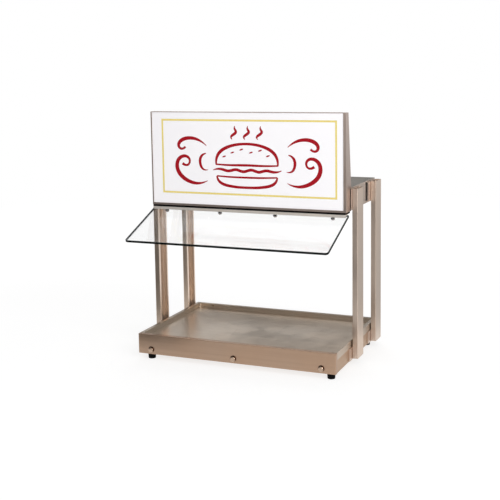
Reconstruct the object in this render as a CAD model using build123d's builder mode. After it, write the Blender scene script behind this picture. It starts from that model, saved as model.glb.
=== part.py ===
from build123d import *
from math import atan2, cos, degrees, radians, sin, sqrt, tan
import os

os.makedirs("parts", exist_ok=True)

# A counter-top heated display case: a shallow heated base, four channel posts outside its sides,
# a heater canopy between the posts, a lit wedge-shaped sign box in front of the canopy and a
# tilted glass guard that hangs forward from under the sign.
# Millimetres. X runs to the right as the customer sees it, Y to the operator's side, Z up.
# The origin is on the counter, under the middle of the overall width and length.

# Sheet metal
sheet = 1.2
bend = 3.0

# Base
base_width = 610.0
base_depth = 406.0
base_height = 58.0
foot_height = 15.0
fascia_wrap = 14.0
relief_dia = 3.0
rim_width = 10.0
rim_drop_side = 20.0
rim_drop_rear = 8.0
deck_recess = 14.0
deck_corner = 6.0
sensor_hole_dia = 6.0
sensor_hole_margin = 50.0
sensor_hole_drop = 6.0

# Feet
foot_dia = 23.5
foot_tip_dia = 21.3
foot_bore_dia = 9.6
foot_bore_depth = 9.0
foot_inset_left = 38.0
foot_inset_right = 17.0
foot_inset_front = 13.0
foot_inset_rear = 48.0
foot_screw_dia = 4.0
foot_screw_head_dia = 8.0
foot_screw_head_height = 3.0
foot_nut_width = 7.0
foot_nut_height = 3.2

# Dome screws that hold the front fascia
dome_dia = 19.0
dome_height = 6.2
dome_edge = 0.4
dome_screw_dia = 5.0
dome_margin = 42.0
dome_drop = 45.0
dome_nut_width = 8.0
dome_nut_height = 4.0

# Deck heating
heater_mat = 3.0
heater_mat_margin = 35.0
heater_mat_depth = 270.0
insulation = 15.0
insulation_margin = 21.0
insulation_depth = 290.0
insulation_set = 18.0
rail_width = 30.0
rail_flange = 12.0
rail_margin = 94.0

# Posts
post_size_x = 16.5
post_size_y = 56.0
post_lip = 8.0
post_corner = 2.0
post_lift = 3.5
post_short = 4.0
front_post_set = 148.0
rear_post_set = 11.5

# Brackets, bolts and nut bars that hold the posts
bracket = 3.2
bracket_lead = 27.0
bracket_corner = 3.0
bracket_edge = 1.0
lower_bolt_pitch = 17.0
upper_bolt_pitch = 34.0
bolt_dia = 6.0
bolt_head_dia = 10.5
bolt_head_height = 3.3
bolt_end = 2.3
nut_bar = 3.0
nut_bar_width = 50.0
nut_bar_margin = 8.0

# Canopy
display_height = 373.0
canopy_height = 65.0
canopy_flange = 5.0
canopy_edge = 1.5
slot_width = 17.5
slot_rail = 4.0

# Canopy heater
trough_margin = 33.8
trough_mouth = 100.0
trough_top = 60.0
trough_height = 38.0
trough_sheet = 0.8
trough_flange = 16.0
trough_set = 118.0
element_dia = 8.0
element_spread = 40.0
element_margin = 30.0
element_rise = 16.0
element_bend = 12.0
element_tail = 38.0
bushing_dia = 18.0
bushing_flange = 3.0
bushing_sleeve_dia = 12.0
clip_set = 60.0
clip_margin = 8.0
guard_wire = 3.0
guard_pitch = 54.0
guard_margin = 9.0
guard_spread = 60.0
guard_screw_dia = 4.0
guard_screw_head_dia = 9.0
guard_screw_head_height = 2.4
ballast_size = (150.0, 40.0, 28.0)
ballast_ear = 12.0
ballast_side = 155.0
ballast_set = 28.0

# Sign box
sign_set = 108.0
sign_margin = 3.0
sign_height = 277.0
sign_drop = 2.0
sign_depth_low = 48.0
sign_depth_top = 24.0
sign_lip_left = 3.5
sign_lip_right = 8.0
sign_bottom_lip = 6.0
panel_thickness = 3.0
panel_play = 0.3
panel_side_play = 0.4
panel_short = 1.0
guide_width = 11.0
sign_screw_margin = 52.0
sign_screw_z = (14.0, 50.0)
sign_screw_dia = 4.0
sign_screw_head_dia = 8.0
sign_screw_head_height = 2.8
lamp_dia = 25.4
lamp_margin = 32.0
lamp_lift = 46.0
lamp_pin = 7.0
lamp_pin_dia = 2.4
lamp_pin_spread = 12.7
holder_width = 12.0
holder_height = 34.0
holder_stand = 8.0

# Glass guard and its bar
gasket = 5.5
gasket_depth = 42.0
glass_bar_front = 8.3
glass_bar_depth = 27.0
glass_bar_tail = 1.2
glass_bar_margin = 2.0
glass_side_reach = 3.0
glass = 6.0
glass_tilt = 21.1
glass_ahead = 184.3
glass_behind = 18.8
glass_corner = 9.0
glass_edge = 0.6
glass_washer = 1.0
glass_washer_dia = 12.0
glass_screw_margin = 45.0
glass_screw_down = 10.5
glass_screw_dia = 4.0
glass_screw_head_dia = 11.0
glass_screw_head_height = 4.0
glass_screw_bite = 2.6
bar_screw_back = 12.0
bar_screw_dia = 3.5
bar_screw_head_dia = 7.0
bar_screw_head_height = 2.2
bar_screw_bite = 2.0

# Controls on the operator's side
knob_dia = 32.0
knob_height = 15.0
knob_gap = 0.6
knob_pointer = 2.0
knob_taper = 4.0
knob_ribs = 12
dial_dia = 42.0
dial = 1.0
control_nut_width = 14.0
control_nut_height = 2.5
bushing_thread_dia = 9.5
bushing_thread_length = 7.5
control_shaft_dia = 6.0
control_body = (34.0, 26.0, 20.0)
base_control_drop = 33.0
base_knob_set = 145.0
base_switch_set = 77.0
inlet_set = 85.0
plate_set = 235.0
canopy_control_drop = 33.0
canopy_knob_set = 145.0
canopy_switch_set = 77.0
switch_width = 21.0
switch_height = 28.6
switch_depth = 22.0
switch_flange = 2.0
switch_flange_height = 2.2
switch_tab = (0.8, 6.3)
switch_tab_length = 8.0
rocker_width = 16.4
rocker_radius = 12.2
rocker_play = 0.3
rocker_pivot = 0.8
rocker_tilt = 9.0
rocker_base = 5.5
rocker_crown = 3.6
rocker_valley = 2.2
rocker_pin_dia = 3.0
rocker_pin = 1.4
inlet_width = 27.0
inlet_height = 20.0
inlet_depth = 20.0
inlet_wall = 1.4
inlet_floor = 5.0
inlet_flange = 2.2
inlet_blade = (2.0, 4.0)
inlet_blade_short = 2.5
inlet_blade_spread = 14.0
inlet_blade_rise = 4.0
inlet_tab = 7.0
rating_plate_size = (60.0, 28.0, 0.5)
rating_plate_corner = 2.0
terminal_size = (42.0, 22.0, 16.0)
terminal_side = 185.0
terminal_set = 40.0

# Clearances
hole_play = 0.3
thread_play = 0.02
shaft_play = 0.05
slot_play = 0.1

# Places that follow from the sizes
tilt = radians(glass_tilt)
hang = glass / 2 + glass_washer
glass_reach = glass_ahead * cos(tilt) + glass / 2 * sin(tilt) - hang * sin(tilt)
glass_overhang = glass_reach - sign_set
knob_reach = dial + knob_gap + knob_height - sheet
front_y = (glass_overhang - base_depth - knob_reach) / 2
rear_y = front_y + base_depth
half_width = base_width / 2
wall_x = half_width - sheet
pan_front = front_y + sheet
pan_rear = rear_y - sheet
pan_mid = (pan_front + pan_rear) / 2
base_bottom = foot_height
base_top = base_bottom + base_height
rim_z = base_top - sheet
floor_z = base_bottom + sheet
deck_front = front_y + fascia_wrap
deck_rear = rear_y - rim_width
deck_half = half_width - rim_width
heater_mat_length = 2 * (deck_half - heater_mat_margin)
insulation_length = 2 * (deck_half - insulation_margin)
trough_length = 2 * (wall_x - trough_margin)
element_length = trough_length - 2 * element_margin
deck_z = base_top - deck_recess
mat_top = deck_z - sheet

post_x = wall_x + bracket
post_bottom = base_bottom + post_lift
canopy_bottom = base_top + display_height
canopy_top = canopy_bottom + canopy_height
post_top = canopy_top - post_short
front_post_y = front_y + front_post_set + post_size_y / 2
rear_post_y = rear_y - rear_post_set - post_size_y / 2
post_ys = (front_post_y, rear_post_y)

sign_front = front_y + sign_set
sign_bottom = canopy_bottom - sign_drop
sign_top = sign_bottom + sign_height
sign_back = sign_front + sign_depth_low
sign_half = half_width - sign_margin
sign_width = 2 * sign_half
sign_screw_x = sign_half - sign_screw_margin
lamp_length = 2 * (sign_screw_x - lamp_margin)
glass_bar_length = 2 * (sign_half - glass_bar_margin)
glass_width = 2 * (sign_half + glass_side_reach)
screw_third = (glass_width - 2 * glass_screw_margin) / 3
glass_screw_x = (-1.5 * screw_third, -0.5 * screw_third, 0.5 * screw_third, 1.5 * screw_third)
bar_screw_x = (-screw_third, 0.0, screw_third)
canopy_front = sign_back
canopy_rear = rear_post_y + post_size_y / 2
canopy_mid = (canopy_front + canopy_rear) / 2
canopy_floor = canopy_bottom + sheet

lower_z = (base_bottom + bracket_edge + base_top - rim_drop_side - bracket_edge / 2) / 2
lower_height = base_height - rim_drop_side - 1.5 * bracket_edge
upper_z = (canopy_bottom + canopy_top) / 2 - bracket_edge
upper_height = canopy_height - 2 * slot_rail
lower_bolts = (lower_z - lower_bolt_pitch / 2, lower_z + lower_bolt_pitch / 2)
upper_bolts = (upper_z - upper_bolt_pitch / 2, upper_z + upper_bolt_pitch / 2)


def save(builder, name):
    """Names a finished piece and writes it to its own file."""
    builder.part.label = name
    export_step(builder.part, f"parts/{name}.step")


def right_plane(x, y, z):
    """A plane that faces +X, with its own X along +Y and its own Y up."""
    return Plane(origin=(x, y, z), x_dir=(0, 1, 0), z_dir=(1, 0, 0))


def front_plane(x, y, z):
    """A plane that faces the customer, with its own X to the right and its own Y up."""
    return Plane(origin=(x, y, z), x_dir=(1, 0, 0), z_dir=(0, -1, 0))


def rear_plane(x, y, z):
    """A plane that faces the operator, with its own Y up."""
    return Plane(origin=(x, y, z), x_dir=(-1, 0, 0), z_dir=(0, 1, 0))


def side_planes(x, ys, zs):
    """Planes on both sides of the case that face outward, at each y and z."""
    planes = []
    for y in ys:
        for z in zs:
            planes.append(right_plane(x, y, z))
            planes.append(Plane(origin=(-x, y, z), x_dir=(0, -1, 0), z_dir=(-1, 0, 0)))
    return planes


def drill(planes, diameter, depth):
    """Cuts a round hole through the piece in hand at each plane, to both sides of it."""
    with Locations(*planes):
        Cylinder(diameter / 2, 2 * depth, mode=Mode.SUBTRACT)


def round_screw(head_dia, head_height, shank_dia, shank_length, crown):
    """A screw whose head stands on the plane's outer side and whose shank goes in behind it."""
    with BuildPart() as screw:
        Cylinder(shank_dia / 2, shank_length, align=(Align.CENTER, Align.CENTER, Align.MAX))
        Cylinder(head_dia / 2, head_height, align=(Align.CENTER, Align.CENTER, Align.MIN))
        fillet(screw.edges().group_by(Axis.Z)[-1], crown)
    return screw.part


def hex_nut(width, height, thread_dia):
    """A hexagon nut whose seat is on the plane and which stands out from it."""
    with BuildPart() as nut:
        with BuildSketch():
            RegularPolygon(width / 2, 6, major_radius=False)
            Circle(thread_dia / 2 + thread_play, mode=Mode.SUBTRACT)
        extrude(amount=height)
    return nut.part


# Base pan: a folded tray, open at the top, that carries everything in the base
foot_points = [
    (x, y, base_bottom)
    for x in (foot_inset_left - half_width, half_width - foot_inset_right)
    for y in (front_y + foot_inset_front, rear_y - foot_inset_rear)
]
dome_z = base_top - dome_drop
dome_x = half_width - dome_margin
dome_planes = [front_plane(x, front_y, dome_z) for x in (-dome_x, 0.0, dome_x)]
base_control_z = base_top - base_control_drop
base_knob_plane = rear_plane(base_knob_set - half_width, pan_rear, base_control_z)
base_switch_plane = rear_plane(base_switch_set - half_width, pan_rear, base_control_z)
inlet_plane = rear_plane(half_width - inlet_set, pan_rear, base_control_z)
plate_plane = rear_plane(half_width - plate_set, pan_rear, base_control_z)

with BuildPart() as base_pan:
    with BuildSketch(Plane.XY.offset(base_bottom)):
        with Locations((0, pan_mid)):
            RectangleRounded(2 * wall_x, pan_rear - pan_front, bend)
    extrude(amount=rim_z - base_bottom)
    offset(amount=-sheet, openings=base_pan.faces().sort_by(Axis.Z)[-1])
    drill(foot_points, foot_screw_dia + 2 * hole_play, 2 * sheet)
    drill(dome_planes, dome_screw_dia + 2 * hole_play, 3 * sheet)
    drill(side_planes(wall_x, post_ys, lower_bolts), bolt_dia + 2 * hole_play, 2 * sheet)
    drill([base_knob_plane], bushing_thread_dia + 2 * hole_play, 2 * sheet)
    with BuildSketch(base_switch_plane):
        Rectangle(switch_width + 2 * slot_play, switch_height + 2 * slot_play)
    with BuildSketch(inlet_plane):
        Rectangle(inlet_width + 2 * slot_play, inlet_height + 2 * slot_play)
    extrude(amount=-2 * sheet, mode=Mode.SUBTRACT)
save(base_pan, "base_pan")

# Front fascia: the face of the base, wrapped round both sides and over the top edge
with BuildPart() as front_fascia:
    with BuildSketch(Plane.XY.offset(base_bottom)):
        with Locations((0, front_y + fascia_wrap / 2)):
            Rectangle(base_width, fascia_wrap)
    extrude(amount=base_height)
    fillet(front_fascia.edges().filter_by(Axis.Z).group_by(Axis.Y)[0], bend)
    fascia_open = front_fascia.faces().filter_by(Axis.Y).sort_by(Axis.Y)[-1:]
    fascia_open += front_fascia.faces().filter_by(Axis.Z).sort_by(Axis.Z)[:1]
    offset(amount=-sheet, openings=fascia_open)
    drill(dome_planes, dome_screw_dia + 2 * hole_play, 2 * sheet)
    relief_z = base_top - sheet - relief_dia / 2
    drill(side_planes(half_width, (front_y + bend,), (relief_z,)), relief_dia, 2 * sheet)
save(front_fascia, "front_fascia")

# Deck tray: the heated deck, sunk below a rim that is folded down outside the pan's walls
with BuildPart() as deck_tray:
    with BuildSketch(Plane.XY.offset(mat_top)):
        with Locations((0, (deck_front + deck_rear) / 2)):
            RectangleRounded(2 * deck_half, deck_rear - deck_front, deck_corner)
    extrude(amount=base_top - mat_top)
    offset(amount=-sheet, openings=deck_tray.faces().sort_by(Axis.Z)[-1])
    with BuildSketch(Plane.XY.offset(rim_z)):
        with Locations((0, (deck_front + rear_y) / 2)):
            Rectangle(base_width, rear_y - deck_front)
        with Locations((0, (deck_front + deck_rear) / 2)):
            RectangleRounded(
                2 * deck_half - sheet,
                deck_rear - deck_front - sheet,
                deck_corner - sheet / 2,
                mode=Mode.SUBTRACT,
            )
    extrude(amount=sheet)
    with BuildSketch(Plane.XY.offset(base_top)):
        with Locations((half_width - sheet / 2, (deck_front + rear_y) / 2)):
            Rectangle(sheet, rear_y - deck_front)
        with Locations((sheet / 2 - half_width, (deck_front + rear_y) / 2)):
            Rectangle(sheet, rear_y - deck_front)
    extrude(amount=-rim_drop_side)
    with BuildSketch(Plane.XY.offset(base_top)):
        with Locations((0, rear_y - sheet / 2)):
            Rectangle(base_width, sheet)
    extrude(amount=-rim_drop_rear)
    sensor_y = deck_rear - sheet / 2
    sensor_z = base_top - sensor_hole_drop
    sensor_x = deck_half - sensor_hole_margin
    sensor_planes = [front_plane(x, sensor_y, sensor_z) for x in (-sensor_x, sensor_x)]
    drill(sensor_planes, sensor_hole_dia, sheet)
save(deck_tray, "deck_tray")

# Deck heater mat, its insulation and the two hat-section rails that hold them up
mat_y = deck_front + insulation_set + insulation_depth / 2
insulation_z = mat_top - heater_mat - insulation
with BuildPart() as deck_heater_mat:
    with BuildSketch(Plane.XY.offset(mat_top - heater_mat)):
        with Locations((0, mat_y)):
            RectangleRounded(heater_mat_length, heater_mat_depth, deck_corner)
    extrude(amount=heater_mat)
save(deck_heater_mat, "deck_heater_mat")

with BuildPart() as deck_insulation:
    with BuildSketch(Plane.XY.offset(insulation_z)):
        with Locations((0, mat_y)):
            Rectangle(insulation_length, insulation_depth)
    extrude(amount=insulation)
save(deck_insulation, "deck_insulation")

rail_height = insulation_z - floor_z
rail_flange_x = (rail_width + rail_flange) / 2 - sheet
rail_x = insulation_length / 2 - rail_margin
with BuildPart() as insulation_rails:
    with BuildSketch(Plane.XZ.offset(insulation_depth / 2 - mat_y)):
        with Locations((-rail_x, floor_z), (rail_x, floor_z)):
            Rectangle(rail_width, rail_height, align=(Align.CENTER, Align.MIN))
            Rectangle(
                rail_width - 2 * sheet,
                rail_height - sheet,
                align=(Align.CENTER, Align.MIN),
                mode=Mode.SUBTRACT,
            )
            with Locations((rail_flange_x, 0), (-rail_flange_x, 0)):
                Rectangle(rail_flange, sheet, align=(Align.CENTER, Align.MIN))
    extrude(amount=-insulation_depth)
save(insulation_rails, "insulation_rails")

# Fascia screws and their nuts
dome_screw = round_screw(
    dome_dia,
    dome_height,
    dome_screw_dia,
    2 * sheet + dome_nut_height + bolt_end,
    dome_height - dome_edge,
)
dome_nut = hex_nut(dome_nut_width, dome_nut_height, dome_screw_dia)
with BuildPart() as fascia_screws:
    with Locations(*dome_planes):
        add(dome_screw)
save(fascia_screws, "fascia_screws")

with BuildPart() as fascia_nuts:
    with Locations(*[rear_plane(p.origin.X, pan_front + sheet, dome_z) for p in dome_planes]):
        add(dome_nut)
save(fascia_nuts, "fascia_nuts")

# Feet, with the screws that hold them and their nuts
with BuildPart() as foot:
    with BuildSketch():
        Circle(foot_tip_dia / 2)
    with BuildSketch(Plane.XY.offset(foot_height)):
        Circle(foot_dia / 2)
    loft()
    fillet(foot.edges().group_by(Axis.Z)[0], sheet)
    Cylinder(
        foot_bore_dia / 2,
        foot_bore_depth,
        align=(Align.CENTER, Align.CENTER, Align.MIN),
        mode=Mode.SUBTRACT,
    )
    Cylinder(foot_screw_dia / 2 + thread_play, 2 * foot_height, mode=Mode.SUBTRACT)

with BuildPart() as feet:
    with Locations(*[(x, y, 0) for x, y, z in foot_points]):
        add(foot.part)
save(feet, "feet")

foot_web = foot_height - foot_bore_depth
foot_screw = round_screw(
    foot_screw_head_dia,
    foot_screw_head_height,
    foot_screw_dia,
    foot_web + sheet + foot_nut_height + bolt_end,
    sheet,
)
foot_nut = hex_nut(foot_nut_width, foot_nut_height, foot_screw_dia)
foot_seats = [Plane(origin=(x, y, foot_bore_depth), z_dir=(0, 0, -1)) for x, y, z in foot_points]
with BuildPart() as foot_screws:
    with Locations(*foot_seats):
        add(foot_screw)
save(foot_screws, "foot_screws")

with BuildPart() as foot_nuts:
    with Locations(*[(x, y, floor_z) for x, y, z in foot_points]):
        add(foot_nut)
save(foot_nuts, "foot_nuts")


# Posts: lipped channels of folded sheet that open inward, outside the base and the canopy
def make_post(name, side, y):
    """Makes one post on the right (side 1) or the left (side -1)."""
    with BuildPart() as post:
        with BuildSketch(Plane.XY.offset(post_bottom)):
            with Locations((side * (post_x + post_size_x / 2), y)):
                RectangleRounded(post_size_x, post_size_y, post_corner)
                RectangleRounded(
                    post_size_x - 2 * sheet,
                    post_size_y - 2 * sheet,
                    post_corner - sheet,
                    mode=Mode.SUBTRACT,
                )
            with Locations((side * (post_x + sheet / 2), y)):
                Rectangle(2 * sheet, post_size_y - 2 * post_lip, mode=Mode.SUBTRACT)
        extrude(amount=post_top - post_bottom)
    save(post, name)


make_post("post_front_left", -1, front_post_y)
make_post("post_front_right", 1, front_post_y)
make_post("post_rear_left", -1, rear_post_y)
make_post("post_rear_right", 1, rear_post_y)


# Brackets between the case's sides and the posts, wider than the posts by one lead
def make_brackets(name, z, height, leads, bolts):
    """Makes four bracket plates at one level; a lead of 1 shows ahead of its post, -1 behind it."""
    with BuildPart() as brackets:
        for y, lead in zip(post_ys, leads):
            middle = y - lead * bracket_lead / 2
            for plane in side_planes(wall_x, (middle,), (z,)):
                with BuildSketch(plane):
                    RectangleRounded(post_size_y + bracket_lead, height, bracket_corner)
        extrude(amount=bracket)
        drill(side_planes(wall_x, post_ys, bolts), bolt_dia + 2 * hole_play, 2 * bracket)
    save(brackets, name)


make_brackets("lower_post_brackets", lower_z, lower_height, (1, 1), lower_bolts)
make_brackets("upper_post_brackets", upper_z, upper_height, (-1, 1), upper_bolts)


# Nut bars inside the posts, behind the lips
def make_nut_bars(name, zs):
    """Makes four bars at one level, each tapped for the bolts at the heights zs."""
    middle = sum(zs) / 2
    with BuildPart() as bars:
        for plane in side_planes(post_x + sheet, post_ys, (middle,)):
            with BuildSketch(plane):
                Rectangle(nut_bar_width, zs[1] - zs[0] + 2 * nut_bar_margin)
        extrude(amount=nut_bar)
        drill(side_planes(post_x + sheet, post_ys, zs), bolt_dia + 2 * thread_play, 2 * nut_bar)
    save(bars, name)


make_nut_bars("lower_nut_bars", lower_bolts)
make_nut_bars("upper_nut_bars", upper_bolts)

post_bolt = round_screw(
    bolt_head_dia, bolt_head_height, bolt_dia, 2 * sheet + bracket + nut_bar + bolt_end, sheet
)
with BuildPart() as post_bolts:
    for x_side in (1, -1):
        for y in post_ys:
            for z in (*lower_bolts, *upper_bolts):
                seat = Plane(origin=(x_side * (wall_x - sheet), y, z), z_dir=(-x_side, 0, 0))
                with Locations(seat):
                    add(post_bolt)
save(post_bolts, "post_bolts")

# Canopy cover: a folded box, open below, with a slot in each side ahead of the rear bracket
canopy_control_z = canopy_top - canopy_control_drop
canopy_knob_plane = rear_plane(canopy_knob_set - half_width, canopy_rear, canopy_control_z)
canopy_switch_plane = rear_plane(canopy_switch_set - half_width, canopy_rear, canopy_control_z)
sign_screw_planes = [
    Plane(origin=(x, canopy_front + sheet, sign_bottom + z), z_dir=(0, 1, 0))
    for x in (-sign_screw_x, sign_screw_x)
    for z in sign_screw_z
]
slot_rear = rear_post_y - post_size_y / 2 - bracket_lead - hole_play
slot_z = (canopy_bottom + canopy_top) / 2
with BuildPart() as canopy_cover:
    with BuildSketch(Plane.XY.offset(canopy_bottom)):
        with Locations((0, canopy_mid)):
            Rectangle(2 * wall_x, canopy_rear - canopy_front)
    extrude(amount=canopy_height)
    fillet(canopy_cover.faces().sort_by(Axis.Z)[-1].edges(), canopy_edge)
    offset(amount=-sheet, openings=canopy_cover.faces().sort_by(Axis.Z)[0])
    for plane in side_planes(wall_x, (slot_rear - slot_width / 2,), (slot_z,)):
        with BuildSketch(plane):
            Rectangle(slot_width, canopy_height - 2 * slot_rail)
    extrude(amount=-2 * sheet, mode=Mode.SUBTRACT)
    drill(side_planes(wall_x, post_ys, upper_bolts), bolt_dia + 2 * hole_play, 2 * sheet)
    drill(sign_screw_planes, sign_screw_dia + 2 * hole_play, 2 * sheet)
    drill([canopy_knob_plane], bushing_thread_dia + 2 * hole_play, 2 * sheet)
    with BuildSketch(canopy_switch_plane):
        Rectangle(switch_width + 2 * slot_play, switch_height + 2 * slot_play)
    extrude(amount=-2 * sheet, mode=Mode.SUBTRACT)
save(canopy_cover, "canopy_cover")

# Canopy pan: closes the canopy below, with the mouth of the heater trough in it
trough_y = canopy_front + trough_set
element_xs = (-element_length / 2, element_length / 2)
guard_screw_points = [
    (x, trough_y + y, canopy_bottom)
    for x in (-trough_length / 2 - guard_margin, trough_length / 2 + guard_margin)
    for y in (-guard_spread / 2, guard_spread / 2)
]
with BuildPart() as canopy_pan:
    with BuildSketch(Plane.XY.offset(canopy_bottom)):
        with Locations((0, canopy_mid)):
            Rectangle(2 * (wall_x - sheet), canopy_rear - canopy_front - 2 * sheet)
    extrude(amount=canopy_flange + sheet)
    offset(amount=-sheet, openings=canopy_pan.faces().sort_by(Axis.Z)[-1])
    with BuildSketch(Plane.XY.offset(canopy_bottom)):
        with Locations((0, trough_y)):
            Rectangle(trough_length, trough_mouth)
    extrude(amount=2 * sheet, mode=Mode.SUBTRACT)
    drill(guard_screw_points, guard_screw_dia + 2 * thread_play, 2 * sheet)
save(canopy_pan, "canopy_pan")

# Heater reflector: a trough over the mouth, its flange on the pan
trough_z = canopy_floor
trough_top_z = trough_z + trough_height
trough_angle = degrees(atan2(trough_height, (trough_mouth - trough_top) / 2))
element_ys = (trough_y - element_spread / 2, trough_y + element_spread / 2)
tail_points = [(element_xs[0], y, trough_top_z) for y in element_ys]
with BuildPart() as heater_reflector:
    with BuildSketch(Plane.YZ.offset(-trough_length / 2)):
        with Locations((trough_y, trough_z)):
            Trapezoid(trough_mouth, trough_height, trough_angle, align=(Align.CENTER, Align.MIN))
    extrude(amount=trough_length)
    offset(amount=-trough_sheet, openings=heater_reflector.faces().sort_by(Axis.Z)[0])
    with BuildSketch(Plane.XY.offset(trough_z)):
        with Locations((0, trough_y)):
            Rectangle(trough_length + 2 * trough_flange, trough_mouth + 2 * trough_flange)
            Rectangle(trough_length - trough_sheet, trough_mouth - trough_sheet, mode=Mode.SUBTRACT)
    extrude(amount=trough_sheet)
    drill(tail_points, bushing_sleeve_dia + 2 * slot_play, 2 * trough_sheet)
    drill(guard_screw_points, guard_screw_dia + 2 * hole_play, 3 * sheet)
save(heater_reflector, "heater_reflector")

# Heater element: a sheathed rod bent to a hairpin, its tails turned up through the reflector
element_z = canopy_bottom + element_rise
tail_z = element_z + element_tail
with BuildPart() as heater_element:
    with BuildLine() as element_path:
        FilletPolyline(
            (element_xs[0], element_ys[0], tail_z),
            (element_xs[0], element_ys[0], element_z),
            (element_xs[1], element_ys[0], element_z),
            (element_xs[1], element_ys[1], element_z),
            (element_xs[0], element_ys[1], element_z),
            (element_xs[0], element_ys[1], tail_z),
            radius=element_bend,
        )
    with BuildSketch(Plane(origin=(element_xs[0], element_ys[0], tail_z), z_dir=(0, 0, -1))):
        Circle(element_dia / 2)
    sweep()
save(heater_element, "heater_element")

with BuildPart() as element_bushings:
    with Locations(*tail_points):
        Cylinder(bushing_dia / 2, bushing_flange, align=(Align.CENTER, Align.CENTER, Align.MIN))
        Cylinder(
            bushing_sleeve_dia / 2,
            2 * trough_sheet,
            align=(Align.CENTER, Align.CENTER, Align.MAX),
        )
    drill(tail_points, element_dia + 2 * shaft_play, element_tail)
save(element_bushings, "element_bushings")

# Element clip: a plate that hangs from the reflector and carries the far end of the hairpin
clip_top = trough_top_z - trough_sheet
clip_height = clip_top - element_z + element_dia / 2 + clip_margin / 2
clip_mid = clip_top - clip_height / 2
with BuildPart() as element_clip:
    with BuildSketch(right_plane(element_xs[1] - clip_set, trough_y, clip_mid)):
        RectangleRounded(element_spread + element_dia + clip_margin, clip_height, sheet)
        with Locations((0, element_z - clip_mid)):
            with GridLocations(element_spread, 1, 2, 1):
                Circle(element_dia / 2 + shaft_play, mode=Mode.SUBTRACT)
    extrude(amount=sheet)
save(element_clip, "element_clip")

# Heater guard: welded wires under the mouth; four screw heads clamp the ends of its long wires
guard_z = canopy_bottom - guard_wire / 2
guard_half = trough_mouth / 2 + guard_margin
guard_end = trough_length / 2 + guard_margin - guard_screw_dia / 2 - hole_play
guard_count = int(trough_length / guard_pitch)
with BuildPart() as heater_guard:
    with BuildSketch(Plane.XZ.offset(guard_half - trough_y)):
        with GridLocations(guard_pitch, 1, guard_count, 1):
            with Locations((0, guard_z)):
                Circle(guard_wire / 2)
    extrude(amount=-2 * guard_half)
    with BuildSketch(Plane.YZ.offset(-guard_end)):
        with Locations((trough_y, guard_z)):
            with GridLocations(guard_spread, 1, 2, 1):
                Circle(guard_wire / 2)
    extrude(amount=2 * guard_end)
save(heater_guard, "heater_guard")

guard_screw = round_screw(
    guard_screw_head_dia,
    guard_screw_head_height,
    guard_screw_dia,
    guard_wire + 2 * sheet + bolt_end,
    sheet,
)
guard_seats = [Plane(origin=(x, y, z - guard_wire), z_dir=(0, 0, -1)) for x, y, z in guard_screw_points]
with BuildPart() as guard_screws:
    with Locations(*guard_seats):
        add(guard_screw)
save(guard_screws, "guard_screws")

# Ballast of the sign lamp, on the canopy pan
with BuildPart() as sign_ballast:
    with Locations((ballast_side - half_width, canopy_front + ballast_set, canopy_floor)):
        Box(*ballast_size, align=(Align.CENTER, Align.CENTER, Align.MIN))
        fillet(sign_ballast.edges().filter_by(Axis.X), sheet)
        Box(
            ballast_size[0] + 2 * ballast_ear,
            ballast_size[1] - ballast_ear,
            sheet,
            align=(Align.CENTER, Align.CENTER, Align.MIN),
        )
save(sign_ballast, "sign_ballast")

# Sign housing: a folded wedge, open in front and above for the panel
knee_z = canopy_top
panel_back = sign_front + sheet + panel_play + panel_thickness
guide_front = panel_back + panel_play
with BuildPart() as sign_housing:
    with BuildSketch(Plane.YZ.offset(-sign_half)):
        with BuildLine():
            Polyline(
                (sign_front, sign_bottom),
                (sign_back, sign_bottom),
                (sign_back, knee_z),
                (sign_front + sign_depth_top, sign_top),
                (sign_front, sign_top),
                close=True,
            )
        make_face()
    extrude(amount=sign_width)
    offset(amount=-sheet, openings=sign_housing.faces().sort_by(Axis.Y)[0])
    with BuildSketch(front_plane(0, sign_front, (sign_bottom + sign_top) / 2)):
        Rectangle(sign_width, sign_height)
        with Locations(((sign_lip_left - sign_lip_right) / 2, sign_bottom_lip / 2)):
            Rectangle(
                sign_width - sign_lip_left - sign_lip_right,
                sign_height - sign_bottom_lip,
                mode=Mode.SUBTRACT,
            )
    extrude(amount=-sheet)
    with BuildSketch(Plane.XY.offset(sign_top)):
        with Locations((0, (sign_front + sheet + guide_front) / 2)):
            Rectangle(sign_width - 2 * sheet, guide_front - sign_front - sheet)
    extrude(amount=-2 * sheet, mode=Mode.SUBTRACT)
    drill(sign_screw_planes, sign_screw_dia + 2 * thread_play, 4 * sheet)
    bar_screw_points = [(x, sign_front + bar_screw_back, sign_bottom + sheet) for x in bar_screw_x]
    drill(bar_screw_points, bar_screw_dia + 2 * hole_play, 2 * sheet)
save(sign_housing, "sign_housing")

# Guides: two strips behind the panel that close its channels
guide_x = sign_half - sheet - guide_width / 2
guide_low = sign_bottom + sheet
with BuildPart() as sign_guides:
    with BuildSketch(Plane.XY.offset(guide_low)):
        with Locations((-guide_x, guide_front + sheet / 2), (guide_x, guide_front + sheet / 2)):
            Rectangle(guide_width, sheet)
    extrude(amount=sign_top - sheet - guide_low)
save(sign_guides, "sign_guides")

# Sign panel: a plain translucent sheet that slides up out of its channels
panel_low = guide_low + panel_play
panel_width = sign_width - 2 * sheet - 2 * panel_side_play
panel_high = sign_top - panel_short
with BuildPart() as sign_panel:
    with BuildSketch(front_plane(0, panel_back - panel_thickness, (panel_low + panel_high) / 2)):
        RectangleRounded(panel_width, panel_high - panel_low, sheet)
    extrude(amount=-panel_thickness)
save(sign_panel, "sign_panel")

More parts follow.
